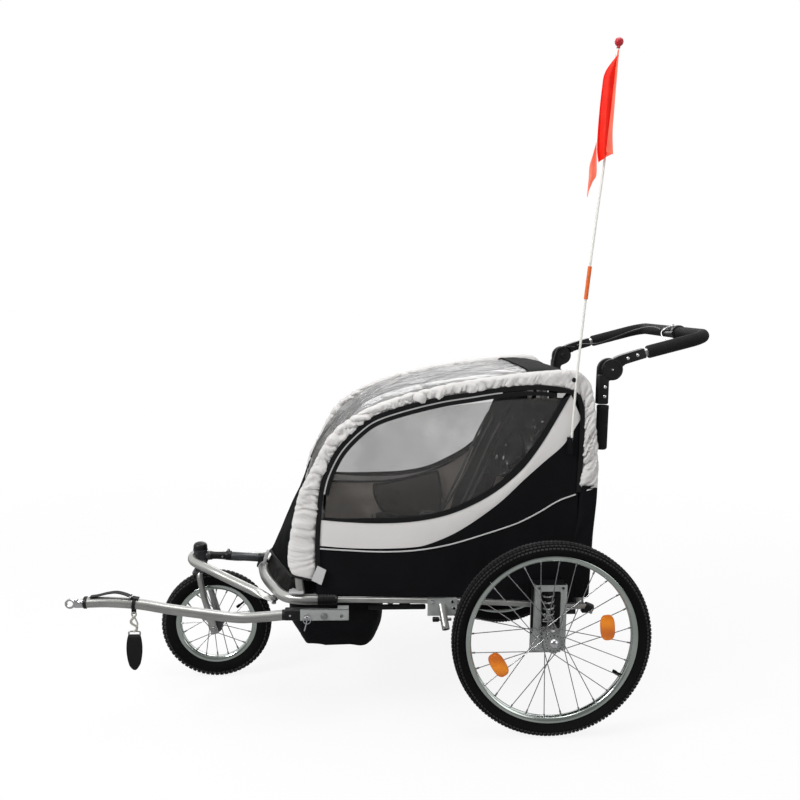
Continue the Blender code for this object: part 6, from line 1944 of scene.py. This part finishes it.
# %% Tow bar
TOW_SIDE = -0.3058
end_block = plate((-0.6625, -0.3185, 0.2815), (-0.558, -0.2931, 0.3085), 0.003, 3)
tail = rod((-0.558, -0.3185, 0.295), (-0.558, -0.2931, 0.295), 0.0133, 40, 0.002)
mouth = rod((-0.669, TOW_SIDE, 0.2925), (-0.656, TOW_SIDE, 0.2925), 0.0136, 36, 0.0016)
settle(
    smooth(joined(end_block, tail, mouth)), "tow_end_block", black_plastic, "tow_block",
    body="tow_bar",
)
TOW_LINE = (
    (-0.66, 0.2925), (-0.72, 0.288), (-0.777, 0.286), (-0.859, 0.297), (-0.951, 0.311),
    (-1.022, 0.324), (-1.094, 0.33), (-1.1475, 0.3296),
)
tow_line = drawn(TOW_LINE, -TOW_SIDE, 10)
settle(
    smooth(tube(tow_line, 0.013, 8), 60), "tow_bar_tube", silver_paint, "tow_tube", body="tow_bar",
)
tow_rivet = rod((-0.6485, -0.3184, 0.2955), (-0.6485, -0.3204, 0.2955), 0.003, 16, 0.0006)
settle(tow_rivet, "tow_rivet", chrome, body="tow_bar")

# %% [markdown]
# At the front the bar ends in a black collar and a cast eye. The eye turns with the bicycle, and
# it is drawn standing on edge, as it hangs in the picture.

# %% Hitch eye
AHEAD = Vector((-1, 0, 0))
collar_profile = [
    (0.0001, 0), (0.0138, 0), (0.0152, 0.001), (0.0152, 0.0062), (0.014, 0.008), (0.0115, 0.009),
    (0.0001, 0.0092),
]
collar = turned(collar_profile, place(-1.1478, TOW_SIDE, 0.3296), AHEAD, 40)
settle(smooth(collar, 35), "hitch_collar", black_plastic, body="hitch_coupler")
eye_ring = turned(
    [(0.0076, -0.003), (0.0118, -0.0032), (0.0128, -0.0018), (0.0128, 0.0018), (0.0118, 0.0032),
     (0.0076, 0.003), (0.007, 0), (0.0076, -0.003)],
    place(-1.1895, TOW_SIDE, 0.327), INTO,
)
neck = plate((-1.18, TOW_SIDE - 0.003, 0.316), (-1.156, TOW_SIDE + 0.003, 0.3385), 0.0024, 3)
shank = turned(
    [(0.0001, 0), (0.0098, 0), (0.0104, 0.002), (0.008, 0.005), (0.0084, 0.008), (0.0104, 0.01),
     (0.0098, 0.013), (0.006, 0.015), (0.0001, 0.015)],
    place(-1.1555, TOW_SIDE, 0.329), AHEAD, 36,
)
settle(
    smooth(joined(eye_ring, neck, shank)), "hitch_eye", chrome,
    "hitch_coupler", body="hitch_coupler",
)

# %% [markdown]
# A flat safety web lies over the bar in a hump, held at its rear end by a ring round the tube. From
# the ring's tab hangs a snap hook with a cream finish, and from its clasp a loop of black webbing.


# %% Safety web, hook and loop
def web(line, width, thick, name, node, body, across=(0, 1, 0), widths=None):
    """A flat band of webbing along a line, its width from one side to the other."""
    across = Vector(across)

    def rule(u, v):
        wide = width * (widths(v) if widths else 1)
        return along(line, v) + across * (u - 0.5) * wide
    return settle(cloth(8, 4 * len(line), rule, thick), name, black_webbing, node, body=body)


hump = drawn((
    (-1.14, 0.3445), (-1.1211, 0.3473), (-1.0993, 0.3527), (-1.0766, 0.3553), (-1.0555, 0.3505),
    (-1.0365, 0.3421), (-1.022, 0.339),
), -TOW_SIDE, 5)
web(hump, 0.017, 0.002, "safety_web", "safety_strap", "tow_bar")
ring_at = place(-1.033, TOW_SIDE, 0)
ring_at.z = min(tow_line, key=lambda point: abs(point.x - ring_at.x)).z
web_ring = turned(
    [
        (0.0132, -0.004), (0.0156, -0.004), (0.0158, 0), (0.0156, 0.004), (0.0132, 0.004),
        (0.0132, -0.004),
    ],
    ring_at, Vector((1, 0, -0.12)), 40,
)
settle(smooth(web_ring), "web_rings", black_webbing, body="tow_bar")
buckle_line = [
    place(-1.043 + 0.0062 * math.cos(turn), TOW_SIDE + 0.011 * math.sin(turn), 0.3455)
    for turn in even_turns(28)
]
settle(tube(buckle_line, 0.0012, 3, closed=True), "web_ring_steel", chrome, body="tow_bar")
tab = plate((-1.041, TOW_SIDE - 0.0013, 0.299), (-1.029, TOW_SIDE + 0.0013, 0.3125), 0.001)
settle(tab, "web_tab", black_webbing, body="tow_bar")

hang = place(-1.035, TOW_SIDE, 0.30235)
hook_eye = [
    hang + Vector((0.0052 * math.sin(turn), 0, -0.0045 + 0.0062 * math.cos(turn)))
    for turn in even_turns(28)
]
hook_body = curve_through([hang + Vector(step) for step in (
    (-0.001, 0, -0.01), (-0.003, 0, -0.015), (-0.0075, 0, -0.0205), (-0.007, 0, -0.027),
    (0.0, 0, -0.032), (0.006, 0, -0.037), (0.005, 0, -0.044), (-0.002, 0, -0.049),
)], 6)
gate = curve_through([hang + Vector(step) for step in (
    (0.001, 0, -0.012), (0.005, 0, -0.02), (0.008, 0, -0.029), (0.0065, 0, -0.038),
)], 5)
hook = [
    tube(hook_eye, 0.0019, closed=True), tube(hook_body, 0.0031, 5), tube(gate, 0.002),
    bar(hang + Vector((-0.001, 0, -0.0085)), hang + UP * -0.0135, 0.004, 20, 0.0008),
]
settle(smooth(joined(*hook), 50), "snap_hook_body", hook_cream, "snap_hook", body="hanger")
clasp_line = [
    hang + Vector((0.014 * squared(math.cos(turn), 0.45), 0,
                   -0.0545 + 0.0062 * squared(math.sin(turn), 0.45)))
    for turn in even_turns(40, 0.5)
]
settle(smooth(tube(clasp_line, 0.0019, closed=True), 60), "hook_clasp", zinc_steel, body="hanger")
loop_line = curve_through([hang + Vector(step) for step in (
    (-0.001, 0.0, -0.057), (-0.001, -0.0052, -0.064), (-0.001, -0.0066, -0.086),
    (-0.001, -0.006, -0.115), (-0.001, -0.004, -0.14), (-0.001, 0.0, -0.1485),
    (-0.001, 0.004, -0.14), (-0.001, 0.0058, -0.115), (-0.001, 0.0056, -0.086),
    (-0.001, 0.0042, -0.064), (-0.001, 0.0004, -0.0572),
)], 4)


def leaf(v):
    """The loop's width: full at the middle, narrow where it turns at the bottom."""
    down = 1 - abs(2 * v - 1)
    narrow = 0.66 * max(0, (down - 0.8) / 0.2) ** 1.6
    return 0.8 + 0.28 * rise(min(down * 1.25, 1)) ** 0.8 - narrow


web(
    loop_line, 0.0335, 0.0022, "webbing_loop", "strap_loop", "hanger", across=(1, 0, 0),
    widths=leaf,
)
print("tow bar ready")

# %% [markdown]
# The push handle hinges on two round knuckles. Each is a pair of discs: the inner one belongs to
# the arm that goes down into the socket, the outer one to the arm that holds the handle. The foam
# covers the handle's tube from ring to ring.


# %% Knuckles
TILT = math.radians(19.3)
KNUCKLE = (0.16, 0.911)
HANDLE_SIDE = 0.255


def on_handle(s, y, up=0.0):
    """A point on the handle: s along it from the knuckle, up above its line."""
    return place(
        KNUCKLE[0] + s * math.cos(TILT) - up * math.sin(TILT), y,
        KNUCKLE[1] + s * math.sin(TILT) + up * math.cos(TILT),
    )


def round_edge(cx, cz, radius, start, end, count):
    """Points of an arc in x and z, in degrees."""
    turns = [math.radians(start + (end - start) * k / count) for k in range(count + 1)]
    return [(cx + radius * math.cos(t), cz + radius * math.sin(t)) for t in turns]


hub_x, hub_z = place(KNUCKLE[0], 0, KNUCKLE[1]).x, KNUCKLE[1]
base_outline = round_edge(hub_x - 0.006, hub_z, 0.029, 30, 180, 18)
base_outline += [(hub_x - 0.0355, hub_z - 0.03), (hub_x - 0.0355, hub_z - 0.088)]
base_outline += [(hub_x - 0.0066, hub_z - 0.088), (hub_x - 0.0066, hub_z - 0.036)]
base_outline += [(hub_x - 0.004, hub_z - 0.03), (hub_x + 0.005, hub_z - 0.0268)]
base_outline += round_edge(hub_x - 0.003, hub_z, 0.0275, -62, 10, 8)
base = smooth(slab(base_outline, -0.2546, -0.2425, 0.0032, 3), 35)
stem = block(
    (hub_x - 0.0352, -0.267, hub_z - 0.088), (hub_x - 0.0068, -0.243, hub_z - 0.012), 0.0045, 4,
)
both(smooth(joined(base, stem), 35), "knuckle_foot", black_plastic, "knuckle_base")
socket_profile = [
    (0.0001, 0), (0.0105, 0.0002), (0.013, 0.0016), (0.0147, 0.0045), (0.0149, 0.006),
    (0.015, 0.103), (0.0154, 0.105), (0.0154, 0.112), (0.0145, 0.1135), (0.013, 0.114),
    (0.0001, 0.114),
]
socket = turned(socket_profile, place(0.1412, -HANDLE_SIDE, 0.706), Vector((0.006, 0, 1)), 40)
both(smooth(socket, 35), "handle_socket", black_foam)
ring = turned(
    [(0.0001, 0), (0.0138, 0), (0.0141, 0.001), (0.0138, 0.0026), (0.0001, 0.0026)],
    place(0.1418, -HANDLE_SIDE, 0.816), UP, 40,
)
both(smooth(ring), "socket_ring", chrome)


def stud(x, z):
    """A bright domed rivet on the knuckle's outer face."""
    dome = [(0.0001, 0.003), (0.0028, 0.0026), (0.0043, 0.0012), (0.0046, 0), (0.0001, -0.001)]
    return turned(dome, place(x, -0.2668, z), OUTWARD, 24)


studs = [stud(0.1425, z) for z in (0.867, 0.843)]
both(smooth(joined(*studs)), "stem_rivets", chrome)

face = turned(
    [(0.0001, 0.0127), (0.0215, 0.0127), (0.0225, 0.0119), (0.0236, 0.0127), (0.0262, 0.0122),
     (0.027, 0.0108), (0.027, 0.0002), (0.0001, 0.0002)],
    place(KNUCKLE[0], -HANDLE_SIDE, KNUCKLE[1]), OUTWARD, 64,
)
arm_outline = [(x + hub_x, z + hub_z) for x, z in (
    (-0.008, 0.018), (0.002, 0.028), (0.012, 0.0335), (0.025, 0.0383), (0.042, 0.0438),
    (0.078, 0.0545), (0.0795, 0.0535), (0.086, 0.032), (0.085, 0.0305), (0.048, 0.019),
    (0.033, 0.014), (0.027, 0.009), (0.02, 0.0), (0.0, 0.0),
)]
arm = slab(arm_outline, -0.2668, -0.244, 0.004, 3)
room = rod((KNUCKLE[0], -0.254, KNUCKLE[1]), (KNUCKLE[0], -0.23, KNUCKLE[1]), 0.03, 48)
arm = smooth(cut(arm, room), 35)
both(smooth(joined(face, arm), 35), "knuckle_arm", black_plastic, "knuckle_top", body="handle")
arm_studs = [stud(0.1985, 0.94), stud(0.223, 0.948)]
arm_studs.append(turned(
    [(0.0001, 0.002), (0.0022, 0.0016), (0.0032, 0), (0.0001, -0.001)],
    place(KNUCKLE[0], -0.2677, KNUCKLE[1]), OUTWARD, 20,
))
both(smooth(joined(*arm_studs)), "arm_rivets", chrome, body="handle")

# %% [markdown]
# The handle is one U-shaped tube. Its foam is a thicker tube over it, drawn along the same line.

# %% Handle and foam
CORNER, REACH = 0.047, 0.262


def handle_line(start):
    """Half way round and back: the near side, two round corners and the bar across."""
    half = [(start, 0), (start + 0.02, 0), (0.15, 0)]
    for k in range(9):
        turn = math.radians(90 * k / 8)
        half.append((REACH - CORNER + CORNER * math.sin(turn), CORNER * (1 - math.cos(turn))))
    half.append((REACH, 0.15))
    points = []
    for s, inward in half:
        lift = 0.0122 * (REACH - s) / 0.162
        points.append((s, inward - HANDLE_SIDE, lift))
    points += [(s, -y, lift) for s, y, lift in reversed(points)]
    return curve_through([on_handle(*point) for point in points], 4)


settle(
    smooth(tube(handle_line(0.086), 0.011, 6), 60), "handle_bar", silver_paint,
    "handle_tube", body="handle",
)
foam_line = handle_line(0.1005)
thick = [1.0] * len(foam_line)
thick[0] = thick[-1] = 0.93
settle(
    smooth(tube(foam_line, 0.0165, 9, radii=thick), 50), "handle_foam", black_foam,
    "handle_grip", body="handle",
)

# %% [markdown]
# The parking brake has a lever on the bar across. Its bracket is black, the cable's barrel and the
# wire bail are bright.

# %% Brake lever


def at_brake(forward, y, up):
    """A point by the brake: ahead of the bar's centre, across, and above it."""
    return on_handle(REACH - forward, -0.05 + y, up)


collar = turned(
    [(0.0168, -0.009), (0.0196, -0.009), (0.02, -0.008), (0.02, 0.008), (0.0196, 0.009),
     (0.0168, 0.009), (0.0168, -0.009)],
    at_brake(0, 0, 0), INTO, 40,
)
bracket = [
    collar,
    bar(at_brake(0.015, 0, 0.006), at_brake(0.04, 0, 0.0085), 0.005, 20, 0.0014),
    bar(at_brake(0.033, 0, 0.0035), at_brake(0.033, 0, 0.02), 0.0062, 24, 0.0014),
    bar(at_brake(0.023, 0, 0.012), at_brake(0.023, 0.04, 0.016), 0.004, 18, 0.001),
]
settle(smooth(joined(*bracket)), "brake_bracket", black_plastic, "brake_clamp", body="handle")
barrel = [
    bar(at_brake(0.0056, 0.004, 0.014), at_brake(0.0056, 0.004, 0.0225), 0.004, 20, 0.0008),
    bar(at_brake(0.0056, 0.004, 0.0225), at_brake(0.0056, 0.004, 0.0265), 0.0024, 16, 0.0005),
    bar(at_brake(0.033, 0, 0.0195), at_brake(0.033, 0, 0.0215), 0.003, 18, 0.0006),
]
settle(smooth(joined(*barrel)), "brake_barrel", chrome, body="handle")
bail = curve_through([at_brake(*point) for point in (
    (0.008, 0.004, 0.0215), (0.024, 0.004, 0.0225), (0.04, 0.003, 0.019), (0.048, -0.004, 0.011),
    (0.048, -0.014, 0.002), (0.044, -0.022, -0.005),
)], 6)
settle(smooth(tube(bail, 0.001, 3), 60), "brake_bail", chrome, body="handle")
lever_line = curve_through([at_brake(*point) for point in (
    (0.033, 0.004, 0.012), (0.0365, -0.012, 0.012), (0.038, -0.034, 0.012), (0.035, -0.062, 0.012),
)], 8)
lever = tube(
    lever_line, 0.004, 6,
    radii=[1 + 0.45 * k / (len(lever_line) - 1) for k in range(len(lever_line))],
)
boss = bar(at_brake(0.033, 0, 0.008), at_brake(0.033, 0, 0.016), 0.0054, 28, 0.001)
settle(
    smooth(joined(lever, boss), 50), "brake_lever_blade", black_plastic, "brake_lever",
    body="brake_lever",
)
print("handle ready")

# %% [markdown]
# The flag's pole is a thin pale rod in two lengths with an orange ferrule between them and a red
# ball on top. The cloth hangs from a sleeve on the pole in soft folds. Where it is a single layer
# it is painted lighter and given a stronger painted glow, standing in for the light that comes
# through.


# %% Pole, ferrule and ball
FLAG_Y = -0.2916
POLE = (
    (0.054, 0.706), (0.0605, 0.86), (0.0695, 0.985), (0.0815, 1.127), (0.097, 1.282),
    (0.113, 1.438), (0.1345, 1.687),
)
pole_line = drawn(POLE, -FLAG_Y, 12)


def pole_at(z):
    """The pole's centre at a height."""
    for low, high in zip(pole_line, pole_line[1:]):
        if low.z <= z <= high.z:
            return low.lerp(high, (z - low.z) / (high.z - low.z))
    return pole_line[-1].copy()


settle(smooth(tube(pole_line, 0.003), 60), "flag_rod", glass_fibre, "flag_pole", body="flag")
clear()
top = pole_line[-1]
bpy.ops.mesh.primitive_uv_sphere_add(
    segments=40, ring_count=24, radius=0.0105, location=top + Vector((0.001, 0, 0.009)),
)
ball = bpy.context.object
neck = bar(top - Vector((0, 0, 0.006)), top + UP * 0.002, 0.0044, 24, 0.0008)
settle(smooth(joined(ball, neck), 50), "flag_ball", ball_finish, body="flag")
ferrule_line = [pole_at(z) for z in (1.087, 1.113, 1.14, 1.167)]
settle(
    smooth(tube(ferrule_line, 0.005, 6), 50), "pole_ferrule", ferrule_finish,
    "flag_ferrule", body="flag",
)

# %% [markdown]
# Each layer of the flag is a sheet between two drawn edges. A slow wave makes it swing towards and
# away from the camera, and it grows from nothing at the sleeve.


# %% Flag
def hanging(near_edge, far_edge, columns, rows, depth, waves, base):
    """A hanging sheet between two edges, each a list of (x, z) from the top down."""
    near, far = (
        drawn([(x + 0.005, z) for x, z in edge], -(FLAG_Y + base), 6)
        for edge in (near_edge, far_edge)
    )

    def rule(u, v):
        point = along(near, v).lerp(along(far, v), u)
        swing = math.sin(waves * math.pi * u + 1.4 * v) - math.sin(1.4 * v)
        point.y += depth * swing * min(1, 2.5 * u) * (0.35 + 0.65 * v)
        point.z -= 0.004 * u * u * v
        return point
    return cloth(columns, rows, rule, 0.0006, 60)


layer = hanging(
    (
        (0.129, 1.666), (0.125, 1.615), (0.1205, 1.56), (0.1155, 1.5), (0.1107, 1.442),
        (0.107, 1.427),
    ),
    (
        (0.1262, 1.664), (0.099, 1.626), (0.092, 1.585), (0.086, 1.509), (0.084, 1.449),
        (0.0885, 1.417),
    ),
    44, 90, 0.007, 2.6, base=-0.0048,
)
settle(layer, "flag_cloth", signal_cloth, "flag", body="flag")
hem = hanging(
    ((0.1296, 1.676), (0.1268, 1.615), (0.1235, 1.54), (0.1215, 1.485), (0.125, 1.434)),
    ((0.1262, 1.676), (0.1215, 1.615), (0.115, 1.54), (0.11, 1.485), (0.1065, 1.443)),
    14, 90, 0.0015, 1.0, base=-0.0066,
)
back_hem = hanging(
    ((0.129, 1.67), (0.1262, 1.615), (0.123, 1.54), (0.121, 1.485), (0.1245, 1.436)),
    ((0.1255, 1.67), (0.1205, 1.615), (0.114, 1.54), (0.108, 1.485), (0.1045, 1.428)),
    14, 90, -0.0015, 1.0, base=0.0052,
)
tail = hanging(
    (
        (0.0862, 1.464), (0.0875, 1.442), (0.0888, 1.415), (0.0888, 1.385), (0.08, 1.369),
        (0.069, 1.34),
    ),
    (
        (0.0848, 1.46), (0.0765, 1.43), (0.0705, 1.408), (0.0695, 1.38), (0.068, 1.358),
        (0.0672, 1.337),
    ),
    16, 60, 0.004, 1.6, base=0.0045,
)
settle(joined(hem, back_hem, tail), "flag_thin_cloth", signal_thin_glow, body="flag")

# %% [markdown]
# The pole stands in a small black pocket sewn on the side, and higher up it passes a black eyelet
# in the sleeve.

# %% Pocket and eyelet


def pocket_rule(u, v):
    over = math.exp(-((u - 0.5) / 0.2) ** 2)
    return place(0.045 + 0.019 * u, -0.285 - 0.012 * over, 0.7 + 0.042 * v)


pocket = cloth(30, 20, pocket_rule, 0.0014)
settle(pocket, "pole_pocket", black_cloth, slot="black_cloth")
clear()
bpy.ops.mesh.primitive_torus_add(
    major_radius=0.0046, minor_radius=0.0014, major_segments=36, minor_segments=12,
    location=place(0.056, -0.2925, 0.887), rotation=(math.pi / 2, 0, 0),
)
eyelet = fixed(bpy.context.object)
plug = rod((0.056, -0.2895, 0.887), (0.056, -0.2925, 0.887), 0.0042, 28)
settle(smooth(joined(eyelet, plug), 50), "pole_eyelet", black_plastic)
print("flag ready")
